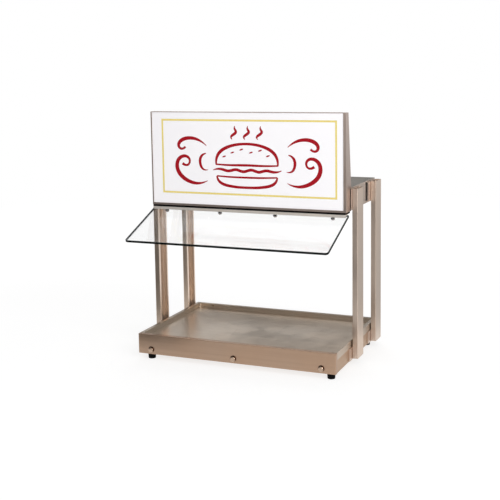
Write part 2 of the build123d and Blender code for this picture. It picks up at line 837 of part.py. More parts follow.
# Sign lamp tube with its pins, and the two lampholders on the housing's back
lamp_z = sign_bottom + lamp_lift
lamp_y = sign_back - sheet - holder_stand - lamp_dia / 2
tube_length = lamp_length - 2 * lamp_pin
with BuildPart() as sign_lamp:
    with Locations(right_plane(0, lamp_y, lamp_z)):
        Cylinder(lamp_dia / 2, tube_length)
        with Locations((0, lamp_pin_spread / 2), (0, -lamp_pin_spread / 2)):
            Cylinder(lamp_pin_dia / 2, lamp_length)
save(sign_lamp, "sign_lamp")

holder_depth = sign_back - sheet - lamp_y + lamp_pin_dia
holder_x = tube_length / 2 + holder_width / 2
holder_y = lamp_y - lamp_pin_dia + holder_depth / 2
with BuildPart() as lamp_holders:
    for x in (-holder_x, holder_x):
        with BuildSketch(right_plane(x - holder_width / 2, holder_y, lamp_z)):
            RectangleRounded(holder_depth, holder_height, lamp_pin_dia)
    extrude(amount=holder_width)
    for y in (-lamp_pin_spread / 2, lamp_pin_spread / 2):
        with Locations(right_plane(0, lamp_y, lamp_z + y)):
            Cylinder(lamp_pin_dia / 2 + shaft_play, lamp_length + sheet, mode=Mode.SUBTRACT)
save(lamp_holders, "lamp_holders")

sign_screw = round_screw(
    sign_screw_head_dia, sign_screw_head_height, sign_screw_dia, 2 * sheet + bolt_end, sheet
)
with BuildPart() as sign_screws:
    with Locations(*sign_screw_planes):
        add(sign_screw)
save(sign_screws, "sign_screws")

# Gasket, wedge bar and glass guard below the sign
bar_top = sign_bottom - gasket
bar_low = bar_top - glass_bar_front
bar_rise = (glass_bar_front - glass_bar_tail) / tan(tilt)
with BuildPart() as glass_gasket:
    with BuildSketch(Plane.XY.offset(bar_top)):
        with Locations((0, sign_front + gasket_depth / 2)):
            Rectangle(glass_bar_length, gasket_depth)
    extrude(amount=gasket)
    drill(bar_screw_points, bar_screw_dia + 2 * hole_play, 2 * gasket)
save(glass_gasket, "glass_gasket")

slope = Plane(origin=(0, sign_front, bar_low), x_dir=(1, 0, 0), z_dir=(0, -sin(tilt), cos(tilt)))
glass_screw_y = glass_screw_down - hang * tan(tilt)


def slope_planes(lift, way=1):
    """Planes at the glass screws, lifted off the bar's slope and facing up (1) or down (-1)."""
    return [
        Plane(origin=slope.from_local_coords((x, glass_screw_y, lift)), z_dir=way * slope.z_dir)
        for x in glass_screw_x
    ]


glass_screw_planes = slope_planes(-glass_washer - glass, -1)
with BuildPart() as glass_bar:
    with BuildSketch(Plane.YZ.offset(-glass_bar_length / 2)):
        with BuildLine():
            Polyline(
                (sign_front, bar_low),
                (sign_front, bar_top),
                (sign_front + glass_bar_depth, bar_top),
                (sign_front + glass_bar_depth, bar_top - glass_bar_tail),
                (sign_front + bar_rise, bar_top - glass_bar_tail),
                close=True,
            )
        make_face()
    extrude(amount=glass_bar_length)
    with Locations(*slope_planes(0)):
        Cylinder(glass_screw_dia / 2 + thread_play, 2 * glass_screw_bite, mode=Mode.SUBTRACT)
    with Locations(*[(x, sign_front + bar_screw_back, bar_top) for x in bar_screw_x]):
        Cylinder(bar_screw_dia / 2 + thread_play, 2 * bar_screw_bite, mode=Mode.SUBTRACT)
save(glass_bar, "glass_bar")

with BuildPart() as glass_guard:
    with BuildSketch(slope.offset(-glass_washer)):
        with Locations((0, (glass_behind - glass_ahead) / 2)):
            Rectangle(glass_width, glass_ahead + glass_behind)
    extrude(amount=-glass)
    across_glass = Axis(slope.origin, slope.z_dir)
    fillet(glass_guard.edges().filter_by(across_glass).group_by(Axis.Y)[0], glass_corner)
    fillet(glass_guard.edges().filter_by(across_glass).group_by(Axis.Y)[-1], glass_corner / 3)
    for face in glass_guard.faces().filter_by(across_glass):
        chamfer(face.outer_wire().edges(), glass_edge)
    drill(glass_screw_planes, glass_screw_dia + 2 * hole_play, 2 * glass)
save(glass_guard, "glass_guard")

with BuildPart() as glass_washers:
    for lift in (-glass_washer, -2 * glass_washer - glass):
        for plane in slope_planes(lift):
            with BuildSketch(plane):
                Circle(glass_washer_dia / 2)
                Circle(glass_screw_dia / 2 + thread_play, mode=Mode.SUBTRACT)
    extrude(amount=glass_washer)
save(glass_washers, "glass_washers")

glass_screw = round_screw(
    glass_screw_head_dia,
    glass_screw_head_height,
    glass_screw_dia,
    glass + 2 * glass_washer + glass_screw_bite - slot_play,
    sheet,
)
with BuildPart() as glass_screws:
    with Locations(*[plane.offset(glass_washer) for plane in glass_screw_planes]):
        add(glass_screw)
save(glass_screws, "glass_screws")

bar_screw = round_screw(
    bar_screw_head_dia,
    bar_screw_head_height,
    bar_screw_dia,
    sheet + gasket + bar_screw_bite - slot_play,
    sheet / 2,
)
with BuildPart() as bar_screws:
    with Locations(*bar_screw_points):
        add(bar_screw)
save(bar_screws, "bar_screws")


# Controls: each is built about its own panel, whose face is the plane z = 0
def make_control_body(name, plane):
    """Makes a thermostat or regulator body with its threaded bushing through the panel."""
    with BuildPart() as body:
        with BuildSketch(plane.offset(-sheet)):
            RectangleRounded(control_body[0], control_body[1], bend)
        extrude(amount=-control_body[2])
        with BuildSketch(plane.offset(-sheet)):
            Circle(bushing_thread_dia / 2)
        extrude(amount=bushing_thread_length)
        with Locations(plane):
            Cylinder(control_shaft_dia / 2 + shaft_play, control_body[2], mode=Mode.SUBTRACT)
    save(body, name)


def make_knob(name, plane):
    """Makes a ribbed pointer knob with a recess over the nut and a bore on its shaft."""
    seat = dial + knob_gap
    with BuildPart() as knob:
        with BuildSketch(plane.offset(seat)):
            Circle(knob_dia / 2)
        extrude(amount=knob_height, taper=knob_taper)
        with BuildSketch(plane.offset(seat + knob_height)):
            with Locations((0, knob_dia / 4)):
                Rectangle(knob_pointer, knob_dia / 3)
        extrude(amount=-knob_pointer, mode=Mode.SUBTRACT)
        with BuildSketch(plane.offset(seat)):
            Circle(control_nut_width / 2 + knob_pointer)
        extrude(amount=knob_height / 3, mode=Mode.SUBTRACT)
        with Locations(plane):
            with PolarLocations(knob_dia / 2, knob_ribs):
                Cylinder(
                    knob_pointer / 2,
                    2 * (seat + knob_height - knob_pointer),
                    mode=Mode.SUBTRACT,
                )
        with BuildSketch(plane.offset(seat)):
            Circle(control_shaft_dia / 2 + thread_play)
        extrude(amount=knob_height - knob_pointer, mode=Mode.SUBTRACT)
    save(knob, name)


def make_shaft(name, plane):
    """Makes the shaft that turns with a knob."""
    with BuildPart() as shaft:
        with BuildSketch(plane.offset(-control_body[2] / 2 + rocker_play)):
            Circle(control_shaft_dia / 2)
        extrude(amount=control_body[2] / 2 + knob_height - knob_pointer)
    save(shaft, name)


def make_dial(name, plane):
    """Makes the round scale plate under a knob."""
    with BuildPart() as scale_plate:
        with BuildSketch(plane):
            Circle(dial_dia / 2)
            Circle(bushing_thread_dia / 2 + shaft_play, mode=Mode.SUBTRACT)
        extrude(amount=dial)
    save(scale_plate, name)


def make_switch(body_name, rocker_name, plane):
    """Makes a rocker switch: the body through the panel, and the rocker on its two pivots."""
    mouth_width = rocker_width + 2 * rocker_play
    mouth_height = 2 * (rocker_radius + rocker_play)
    pivot = plane.offset(rocker_pivot)
    across = Plane(origin=pivot.origin, x_dir=plane.y_dir, z_dir=plane.x_dir)
    with BuildPart() as body:
        with BuildSketch(plane.offset(-switch_depth)):
            RectangleRounded(switch_width, switch_height, sheet)
        extrude(amount=switch_depth)
        with BuildSketch(plane):
            RectangleRounded(
                switch_width + 2 * switch_flange,
                switch_height + 2 * switch_flange,
                switch_flange,
            )
        extrude(amount=switch_flange_height)
        fillet(body.faces().filter_by(Axis.Y).sort_by(Axis.Y)[-1].edges(), sheet / 2)
        with BuildSketch(plane.offset(-rocker_base - switch_flange)):
            Rectangle(mouth_width, mouth_height)
        extrude(amount=2 * switch_depth, mode=Mode.SUBTRACT)
        with Locations(across):
            Cylinder(
                rocker_pin_dia / 2 + shaft_play,
                rocker_width + 2 * rocker_pin + 2 * rocker_play,
                mode=Mode.SUBTRACT,
            )
        with BuildSketch(plane.offset(-switch_depth)):
            with GridLocations(switch_width / 2, switch_height / 3, 2, 2):
                Rectangle(*switch_tab)
        extrude(amount=-switch_tab_length)
    save(body, body_name)

    turn = radians(rocker_tilt)
    tilted = Plane(
        origin=across.origin - across.z_dir * rocker_width / 2,
        x_dir=across.x_dir * cos(turn) + across.y_dir * sin(turn),
        z_dir=across.z_dir,
    )
    rocker_end = sqrt(rocker_radius**2 - rocker_crown**2)
    with BuildPart() as rocker:
        with BuildSketch(tilted):
            Circle(rocker_radius)
            with BuildLine():
                Polyline(
                    (-2 * rocker_radius, -rocker_base),
                    (2 * rocker_radius, -rocker_base),
                    (2 * rocker_radius, rocker_crown),
                    (rocker_end, rocker_crown),
                    (0, rocker_valley),
                    (-rocker_end, rocker_crown),
                    (-2 * rocker_radius, rocker_crown),
                    close=True,
                )
            make_face(mode=Mode.INTERSECT)
        extrude(amount=rocker_width)
        with Locations(across):
            Cylinder(rocker_pin_dia / 2, rocker_width + 2 * rocker_pin)
    save(rocker, rocker_name)


make_control_body("deck_thermostat", base_knob_plane)
make_dial("deck_dial", base_knob_plane)
make_knob("deck_knob", base_knob_plane)
make_shaft("deck_knob_shaft", base_knob_plane)
make_control_body("canopy_regulator", canopy_knob_plane)
make_dial("canopy_dial", canopy_knob_plane)
make_knob("canopy_knob", canopy_knob_plane)
make_shaft("canopy_knob_shaft", canopy_knob_plane)
make_switch("power_switch_body", "power_switch_rocker", base_switch_plane)
make_switch("light_switch_body", "light_switch_rocker", canopy_switch_plane)

control_nut = hex_nut(control_nut_width, control_nut_height, bushing_thread_dia)
with BuildPart() as control_nuts:
    with Locations(base_knob_plane.offset(dial), canopy_knob_plane.offset(dial)):
        add(control_nut)
save(control_nuts, "control_nuts")

# Power inlet with its three blades; the blades' tabs stand out behind it
blade_points = [
    (-inlet_blade_spread / 2, -inlet_blade_rise / 2),
    (inlet_blade_spread / 2, -inlet_blade_rise / 2),
    (0.0, inlet_blade_rise / 2),
]
with BuildPart() as power_inlet:
    with BuildSketch(inlet_plane.offset(-inlet_depth)):
        Rectangle(inlet_width, inlet_height)
    extrude(amount=inlet_depth)
    with BuildSketch(inlet_plane):
        RectangleRounded(
            inlet_width + 2 * inlet_flange,
            inlet_height + 2 * inlet_flange,
            inlet_flange,
        )
    extrude(amount=inlet_flange)
    with BuildSketch(inlet_plane.offset(inlet_floor - inlet_depth)) as mouth:
        Rectangle(inlet_width - 2 * inlet_wall, inlet_height - 2 * inlet_wall)
        chamfer(mouth.vertices().group_by(Axis.Y)[-1], 4 * inlet_wall)
    extrude(amount=inlet_depth, mode=Mode.SUBTRACT)
    with BuildSketch(inlet_plane.offset(-inlet_depth)):
        with Locations(*blade_points):
            Rectangle(inlet_blade[0] + 2 * thread_play, inlet_blade[1] + 2 * thread_play)
    extrude(amount=inlet_floor, mode=Mode.SUBTRACT)
save(power_inlet, "power_inlet")

with BuildPart() as inlet_blades:
    with BuildSketch(inlet_plane.offset(-inlet_depth - inlet_tab)):
        with Locations(*blade_points):
            Rectangle(*inlet_blade)
    extrude(amount=inlet_tab + inlet_depth - inlet_blade_short)
save(inlet_blades, "inlet_blades")

# Rating plate, bare, and the terminal block on the pan's floor
with BuildPart() as rating_plate:
    with BuildSketch(plate_plane):
        RectangleRounded(rating_plate_size[0], rating_plate_size[1], rating_plate_corner)
    extrude(amount=rating_plate_size[2])
save(rating_plate, "rating_plate")

with BuildPart() as terminal_block:
    with Locations((half_width - terminal_side, rear_y - terminal_set, floor_z)):
        Box(*terminal_size, align=(Align.CENTER, Align.CENTER, Align.MIN))
        with Locations((0, 0, terminal_size[2])):
            with GridLocations(terminal_size[0] / 4, terminal_size[1] / 2, 4, 2):
                Cylinder(bend, terminal_size[2], mode=Mode.SUBTRACT)
save(terminal_block, "terminal_block")
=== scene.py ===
"""Looks of a heated display case: finishes, printed marks, small fittings, light and camera."""

import logging
from dataclasses import dataclass
from enum import Enum
from functools import cache
from math import atan2, cos, pi, radians, sin
from typing import ClassVar

import bpy
from mathutils import Matrix, Vector


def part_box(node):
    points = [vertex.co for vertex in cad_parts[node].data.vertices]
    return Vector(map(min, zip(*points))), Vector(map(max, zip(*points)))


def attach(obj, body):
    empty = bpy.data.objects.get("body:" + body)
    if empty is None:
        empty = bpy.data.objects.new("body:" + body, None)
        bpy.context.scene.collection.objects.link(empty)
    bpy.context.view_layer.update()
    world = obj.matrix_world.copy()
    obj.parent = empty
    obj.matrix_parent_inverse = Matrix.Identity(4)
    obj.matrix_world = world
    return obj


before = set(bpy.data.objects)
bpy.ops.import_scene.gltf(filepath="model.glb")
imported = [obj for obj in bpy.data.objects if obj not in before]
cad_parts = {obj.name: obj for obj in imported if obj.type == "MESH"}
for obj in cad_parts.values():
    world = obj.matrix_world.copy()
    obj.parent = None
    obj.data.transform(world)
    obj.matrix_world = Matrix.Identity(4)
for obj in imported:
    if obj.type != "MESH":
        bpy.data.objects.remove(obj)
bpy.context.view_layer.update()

PHOTO_PIXELS = 500.0
MM = 0.001

log = logging.getLogger("display_case")

Colour = tuple[float, float, float]
Point = tuple[float, float, float]
Stroke = tuple[tuple[float, float, float], ...]
Socket = bpy.types.NodeSocket
Node = bpy.types.Node
Piece = bpy.types.Object

RIGHT: Point = (1.0, 0.0, 0.0)
LEFT: Point = (-1.0, 0.0, 0.0)
FRONT: Point = (0.0, -1.0, 0.0)
TOP: Point = (0.0, 0.0, 1.0)
LYING: Point = (0.0, 0.0, 0.0)
UPRIGHT: Point = (pi / 2, 0.0, 0.0)
UPRIGHT_REAR: Point = (pi / 2, 0.0, pi)
GLASS_TILT = radians(21.1)
EDGE_SHARE = 0.3


class Grain(Enum):
    """Which way the brush or the rolling mill went, as scales across and along the lines."""

    X = (0.006, 1.0, 1.0)
    Y = (1.0, 0.006, 1.0)
    Z = (1.0, 1.0, 0.006)

    def axis(self) -> Point:
        """The direction that the lines run in."""
        return tuple(float(part < 1.0) for part in self.value)


def against(direction: Point) -> Point:
    """The opposite direction."""
    return tuple(-part for part in direction)


def scaled(tint: Colour, share: float) -> Colour:
    """A colour made lighter or darker by a factor, up to white."""
    return tuple(min(1.0, share * part) for part in tint)


def tinted(tint: Colour, factors: Colour) -> Colour:
    """A colour with a factor for each of its parts."""
    return tuple(part * factor for part, factor in zip(tint, factors))


def set_inputs(node: Node, **values: float | tuple[float, ...]) -> None:
    """Sets a node's sockets, named with underscores for spaces."""
    for name, value in values.items():
        node.inputs[name.replace("_", " ")].default_value = value


class NodeSet:
    """The nodes of a material or of the world, which start empty and are added one by one."""

    def __init__(self, owner: bpy.types.Material | bpy.types.World) -> None:
        """Turns the owner's nodes on and clears them.

        Args:
            owner: The material or the world.
        """
        owner.use_nodes = True
        self.tree = owner.node_tree
        self.tree.nodes.clear()

    def add(self, kind: str, **values: float | tuple[float, ...]) -> Node:
        """Adds a node.

        Args:
            kind: The node's type.
            values: What its sockets are set to.

        Returns:
            The node.
        """
        node = self.tree.nodes.new(kind)
        set_inputs(node, **values)
        return node

    def join(self, source: Socket, target: Socket) -> None:
        """Links an output to an input."""
        self.tree.links.new(source, target)

    def spread(
        self,
        value: Socket,
        low: float = 0.0,
        high: float = 1.0,
        start: float = 0.3,
        end: float = 0.7,
    ) -> Socket:
        """Maps a value onto another range, clamped.

        Args:
            value: The value.
            low: The result at start.
            high: The result at end.
            start: The value that gives low.
            end: The value that gives high.

        Returns:
            The mapped value.
        """
        node = self.add("ShaderNodeMapRange", From_Min=start, From_Max=end, To_Min=low, To_Max=high)
        self.join(value, node.inputs["Value"])
        return node.outputs["Result"]

    def combine(
        self, first: Socket, second: Socket, operation: str = "ADD", clamp: bool = False
    ) -> Socket:
        """Takes two values together.

        Args:
            first: The first value.
            second: The second value.
            operation: The Math node's operation.
            clamp: True to keep the result between 0 and 1.

        Returns:
            The result.
        """
        node = self.add("ShaderNodeMath")
        node.operation = operation
        node.use_clamp = clamp
        self.join(first, node.inputs[0])
        self.join(second, node.inputs[1])
        return node.outputs[0]

    def mix(self, factor: Socket, first: Node, second: Node) -> Node:
        """Mixes two shaders.

        Args:
            factor: 0 for the first, 1 for the second.
            first: A shader.
            second: A shader.

        Returns:
            The mixed shader.
        """
        node = self.add("ShaderNodeMixShader")
        for source, target in zip((factor, first.outputs[0], second.outputs[0]), node.inputs):
            self.join(source, target)
        return node

    def show(self, shader: Node, kind: str = "ShaderNodeOutputMaterial") -> None:
        """Joins a shader to a new output node."""
        self.join(shader.outputs[0], self.add(kind).inputs["Surface"])


class Graph(NodeSet):
    """A new material with one principled shader."""

    def __init__(self, name: str) -> None:
        """Starts the material.

        Args:
            name: The material's name.
        """
        self.material = bpy.data.materials.new(name)
        super().__init__(self.material)
        self.shader = self.add("ShaderNodeBsdfPrincipled")
        self.show(self.shader)
        self.place = self.add("ShaderNodeTexCoord").outputs["Object"]

    def turned(self, scale: Point, rotation: Point = LYING) -> Socket:
        """Adds a Mapping node on the object's own coordinates.

        Args:
            scale: Factors along the three axes.
            rotation: Turns in radians.

        Returns:
            The mapped coordinates.
        """
        node = self.add("ShaderNodeMapping", Scale=scale, Rotation=rotation)
        self.join(self.place, node.inputs["Vector"])
        return node.outputs["Vector"]

    def noise(
        self, scale: float, detail: float, vector: Socket | None = None, roughness: float = 0.55
    ) -> Socket:
        """Adds a noise texture.

        Args:
            scale: Lumps in a metre.
            detail: Octaves.
            vector: Where to read it, or None for the object's own coordinates.
            roughness: How much the finer octaves count.

        Returns:
            The noise's value.
        """
        node = self.add("ShaderNodeTexNoise", Scale=scale, Detail=detail, Roughness=roughness)
        self.join(vector or self.place, node.inputs["Vector"])
        return node.outputs["Fac"]

    def blend(self, factor: Socket, first: Colour | Socket, second: Colour | Socket) -> Socket:
        """Mixes two colours by a factor.

        Args:
            factor: 0 for the first, 1 for the second.
            first: A colour or an output.
            second: A colour or an output.

        Returns:
            The mixed colour.
        """
        node = self.add("ShaderNodeMix")
        node.data_type = "RGBA"
        self.join(factor, node.inputs[0])
        for socket, value in ((node.inputs[6], first), (node.inputs[7], second)):
            if isinstance(value, Socket):
                self.join(value, socket)
            else:
                socket.default_value = (*value, 1.0)
        return node.outputs[2]

    def along(self, vector: Socket, direction: Point) -> Socket:
        """Measures a vector along a direction.

        Args:
            vector: The vector.
            direction: A unit direction.

        Returns:
            The vector's length in that direction.
        """
        node = self.add("ShaderNodeVectorMath")
        node.operation = "DOT_PRODUCT"
        self.join(vector, node.inputs[0])
        node.inputs[1].default_value = direction
        return node.outputs["Value"]

    def facing(self, direction: Point, start: float, end: float) -> Socket:
        """Finds the faces that look one way.

        Args:
            direction: A unit direction.
            start: The cosine that gives 0.
            end: The cosine that gives 1.

        Returns:
            A mask from 0 to 1.
        """
        normal = self.add("ShaderNodeNewGeometry").outputs["Normal"]
        return self.spread(self.along(normal, direction), start=start, end=end)

    def facing_both(self, direction: Point, start: float, end: float) -> Socket:
        """Finds the faces that look one way or straight against it, in the same terms."""
        sides = (self.facing(way, start, end) for way in (direction, against(direction)))
        return self.combine(*sides, "MAXIMUM")

    def relief(self, height: Socket, strength: float, distance: float) -> None:
        """Gives the shader a bump.

        Args:
            height: The height's pattern.
            strength: How strong it is, 0 to 1.
            distance: The height in metres.
        """
        node = self.add("ShaderNodeBump", Strength=strength, Distance=distance)
        self.join(height, node.inputs["Height"])
        self.join(node.outputs["Normal"], self.shader.inputs["Normal"])

    def fix(self, **values: float | tuple[float, ...]) -> None:
        """Sets the shader's own sockets, named with underscores for spaces."""
        set_inputs(self.shader, **values)

    def feed(self, **sources: Socket) -> None:
        """Joins outputs to the shader's own sockets, named with underscores for spaces."""
        for name, source in sources.items():
            self.join(source, self.shader.inputs[name.replace("_", " ")])


@dataclass(frozen=True)
class Finish:
    """What all finishes share: a name, and nodes that paint its material."""

    name: str

    def make(self) -> bpy.types.Material:
        """Builds the material.

        Returns:
            The material.
        """
        graph = Graph(self.name)
        self.paint(graph)
        return graph.material

    def paint(self, graph: Graph) -> None:
        """Adds the finish's nodes to its graph."""
        raise NotImplementedError


@dataclass(frozen=True)
class BrushedSteel(Finish):
    """Stainless sheet, brushed one way, with streaks, cloudy stains and wiping marks, and painted
    light and shade as own tints for the faces that look given ways.
    """

    tint: Colour
    grain: Grain
    low: float = 0.30
    high: float = 0.46
    # sides: painted light and shade, a tint for the faces that look each given way
    sides: tuple[tuple[Point, Colour], ...] = ()
    contrast: float = 0.07
    on_ends: Grain | None = None
    metallic: float = 1.0
    anisotropy: float = 0.35
    line_pitch: float = 900.0
    streak_pitch: float = 150.0
    cloud_pitch: float = 5.0
    wipe_pitch: float = 22.0
    line_relief: float = 0.12
    line_height: float = 0.04 * MM
    warmth: Colour = (1.05, 0.97, 0.89)

    def streaked(self, graph: Graph, bands: Socket, tint: Colour) -> Socket:
        """Streaks a tint by the bands, which run from 0 to 1."""
        dark, light = (scaled(tint, 1.0 + way * self.contrast) for way in (-1, 1))
        return graph.blend(bands, dark, light)

    def paint(self, graph: Graph) -> None:
        """Adds the nodes.

        Args:
            graph: The material's graph.
        """
        along = graph.turned(self.grain.value)
        if self.on_ends:
            ends = graph.facing_both(self.grain.axis(), start=0.6, end=0.8)
            along = graph.blend(ends, along, graph.turned(self.on_ends.value))
        lines = graph.noise(self.line_pitch, 4.0, along, roughness=0.7)
        streaks = graph.noise(self.streak_pitch, 3.0, along, roughness=0.6)
        clouds = graph.noise(self.cloud_pitch, 2.0)
        wipes = graph.noise(self.wipe_pitch, 4.0)
        bands = graph.spread(streaks, start=0.34, end=0.66)
        shade = self.streaked(graph, bands, self.tint)
        shade = graph.blend(graph.spread(lines, 0.0, 0.35), shade, self.tint)
        stains = graph.spread(clouds, 0.0, 0.6, start=0.4, end=0.75)
        shade = graph.blend(stains, shade, tinted(self.tint, self.warmth))
        # Painted light and shade: faces that look a given way take their own streaked tint.
        for direction, tint in self.sides:
            side = graph.facing(direction, start=0.6, end=0.9)
            shade = graph.blend(side, shade, self.streaked(graph, bands, tint))
        wear = (graph.spread(marks, 0.5 * self.low, 0.5 * self.high) for marks in (lines, wipes))
        graph.feed(Base_Color=shade, Roughness=graph.combine(*wear))
        graph.relief(lines, self.line_relief, self.line_height)
        graph.fix(Metallic=self.metallic, Anisotropic=self.anisotropy)


@dataclass(frozen=True)
class PlatedMetal(Finish):
    """Small metal parts: a plated or turned skin with cloudy tarnish and handling marks."""

    tint: Colour
    tarnish: Colour
    low: float = 0.25
    high: float = 0.45
    lump: float = 260.0
    # Painted shade: the colour that the rim's upper side is darkened to, and the side it falls on.
    painted_rim_shade: Colour | None = None
    painted_shade_side: Point = (0.42, 0.0, 0.91)

    def paint(self, graph: Graph) -> None:
        """Adds the finish's nodes, with painted shade darkening the rim's upper side where a shade
        colour is given.

        Args:
            graph: The material's graph.
        """
        clouds = graph.noise(self.lump, 3.0)
        marks = graph.noise(6.0 * self.lump, 4.0, roughness=0.7)
        shade = graph.blend(graph.spread(clouds, start=0.38, end=0.72), self.tint, self.tarnish)
        # Painted shade: the rim darkens on its upper side, standing in for the dark surroundings
        # that it reflects.
        if self.painted_rim_shade:
            rim = graph.facing(FRONT, start=0.88, end=0.70)
            upper = graph.facing(self.painted_shade_side, start=-0.35, end=0.35)
            shade = graph.blend(graph.combine(rim, upper, "MULTIPLY"), shade, self.painted_rim_shade)
        graph.feed(Base_Color=shade, Roughness=graph.spread(marks, self.low, self.high))
        graph.relief(marks, 0.15, 0.03 * MM)
        graph.fix(Metallic=1.0)


@dataclass(frozen=True)
class SpangledZinc(Finish):
    """Galvanised sheet with its crystal flowers."""

    tint: Colour
    oxide: Colour = (0.62, 0.62, 0.60)
    dark_share: float = 0.78
    flower: float = 130.0

    def paint(self, graph: Graph) -> None:
        """Adds the nodes.

        Args:
            graph: The material's graph.
        """
        cells = graph.add("ShaderNodeTexVoronoi", Scale=self.flower)
        split = graph.add("ShaderNodeSeparateColor")
        graph.join(graph.place, cells.inputs["Vector"])
        graph.join(cells.outputs["Color"], split.inputs[0])
        flowers = split.outputs[0]
        dull = graph.noise(14.0, 3.0)
        shade = graph.blend(flowers, scaled(self.tint, self.dark_share), self.tint)
        shade = graph.blend(graph.spread(dull, 0.0, 0.35, start=0.5, end=0.8), shade, self.oxide)
        wear = graph.spread(flowers, 0.34, 0.55, start=0.0, end=1.0)
        graph.feed(Base_Color=shade, Roughness=wear)
        graph.relief(flowers, 0.1, 0.02 * MM)
        graph.fix(Metallic=1.0)


@dataclass(frozen=True)
class MouldedPlastic(Finish):
    """Moulded plastic or rubber: fine tool texture, dust in the texture and rubbed spots."""

    tint: Colour
    low: float = 0.38
    high: float = 0.55
    texture: float = 1800.0
    depth: float = 0.02
    dust: Colour = (0.16, 0.15, 0.14)
    dust_share: float = 0.12
    gloss: float = 0.5

    def paint(self, graph: Graph) -> None:
        """Adds the nodes.

        Args:
            graph: The material's graph.
        """
        texture = graph.noise(self.texture, 2.0)
        rubbed = graph.noise(70.0, 3.0)
        dusty = graph.spread(rubbed, 0.0, self.dust_share, start=0.45, end=0.8)
        graph.feed(
            Base_Color=graph.blend(dusty, self.tint, self.dust),
            Roughness=graph.spread(rubbed, self.high, self.low, start=0.35, end=0.7),
        )
        graph.relief(texture, 0.3, self.depth * MM)
        graph.fix(Specular_IOR_Level=self.gloss)


@dataclass(frozen=True)
class PlateGlass(Finish):
    """Clear float glass whose ground edges are painted near-black green, partly their own tint and
    partly painted shade for what refraction shows there, with the painted shade running a little
    way onto the clear face.
    """

    face: Colour
    edge: Colour
    slope: Point
    face_alpha: float = 0.12
    edge_alpha: float = 1.0
    edge_gain: float = 2.2
    sheet: float = 6.0 * MM
    corner: float = 9.0 * MM
    rim: float = 3.4 * MM
    rim_core: float = 1.6 * MM

    def inside_rim(self, graph: Graph) -> Socket:
        """Finds the clear part of the sheet, off the painted dark line along its edges.

        Args:
            graph: The material's graph.

        Returns:
            A mask from 0 at the edges to 1 further in.
        """
        low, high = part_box("glass_guard")
        down = (0.0, -self.slope[2], self.slope[1])
        low_end = down[1] * (low.y - self.sheet * self.slope[1]) + down[2] * low.z
        across = graph.along(graph.place, RIGHT)
        across = graph.combine(across, across, "ABSOLUTE")
        squares = []
        for place, reach in ((across, high.x), (graph.along(graph.place, down), low_end)):
            ends = (reach - self.corner, reach + self.corner)
            past = graph.spread(place, 0.0, 2.0 * self.corner, *ends)
            squares.append(graph.combine(past, past, "MULTIPLY"))
        core, clear = (self.corner - self.rim_core) ** 2, (self.corner - self.rim) ** 2
        return graph.spread(graph.combine(*squares), 1.0, 0.0, start=clear, end=core)

    def paint(self, graph: Graph) -> None:
        """Adds the nodes.

        Args:
            graph: The material's graph.
        """
        faces = graph.facing_both(self.slope, start=0.80, end=0.93)
        flat = graph.combine(faces, self.inside_rim(graph), "MULTIPLY")
        ground = graph.noise(420.0, 3.0)
        wiped = graph.noise(9.0, 3.0)
        # Painted shade: the edges and a band along them take the near-black edge colour and full
        # alpha.
        edge = graph.blend(graph.spread(ground), self.edge, scaled(self.edge, self.edge_gain))
        clear = graph.spread(wiped, 0.01, 0.05, start=0.5, end=0.8)
        matt = graph.spread(flat, 0.34, 0.0, start=0.0, end=1.0)
        graph.feed(
            Base_Color=graph.blend(flat, edge, self.face),
            Alpha=graph.spread(flat, self.edge_alpha, self.face_alpha, start=0.0, end=1.0),
            Transmission_Weight=graph.spread(flat, start=0.0, end=1.0),
            Roughness=graph.combine(clear, matt),
        )
        graph.fix(IOR=1.52, Specular_IOR_Level=0.12)


@dataclass(frozen=True)
class LitAcrylic(Finish):
    """Opal acrylic with a glow: on the lamp tube it is the lamp's own light, on the sign panel it
    is painted light that stands in for the lamp behind it.
    """

    tint: Colour
    glow: float
    coolness: Colour = (0.985, 0.99, 1.0)

    def paint(self, graph: Graph) -> None:
        """Adds the nodes.

        Args:
            graph: The material's graph.
        """
        haze = graph.spread(graph.noise(4.0, 2.0), start=0.35, end=0.7)
        shade = graph.blend(haze, self.tint, tinted(self.tint, self.coolness))
        wear = graph.spread(graph.noise(40.0, 3.0), 0.16, 0.24)
        graph.feed(Base_Color=shade, Emission_Color=shade, Roughness=wear)
        graph.relief(graph.noise(30.0, 1.0), 0.03, 0.05 * MM)
        graph.fix(Emission_Strength=self.glow, IOR=1.49, Coat_Weight=0.2)


@dataclass(frozen=True)
class HeatedSheath(Finish):
    """The element's metal sheath, with blue and straw heat colours along it."""

    tint: Colour
    straw: Colour = (0.20, 0.14, 0.08)
    blue: Colour = (0.07, 0.09, 0.16)
    crust: Colour = (0.12, 0.11, 0.10)

    def paint(self, graph: Graph) -> None:
        """Adds the nodes.

        Args:
            graph: The material's graph.
        """
        bands = graph.noise(16.0, 2.0)
        scale = graph.noise(700.0, 4.0)
        shade = graph.blend(graph.spread(bands, start=0.42, end=0.6), self.tint, self.straw)
        shade = graph.blend(graph.spread(bands, 0.0, 0.7, start=0.58, end=0.72), shade, self.blue)
        shade = graph.blend(graph.spread(scale, 0.0, 0.3), shade, self.crust)
        graph.feed(Base_Color=shade, Roughness=graph.spread(scale, 0.42, 0.66))
        graph.relief(scale, 0.3, 0.05 * MM)
        graph.fix(Metallic=0.85)


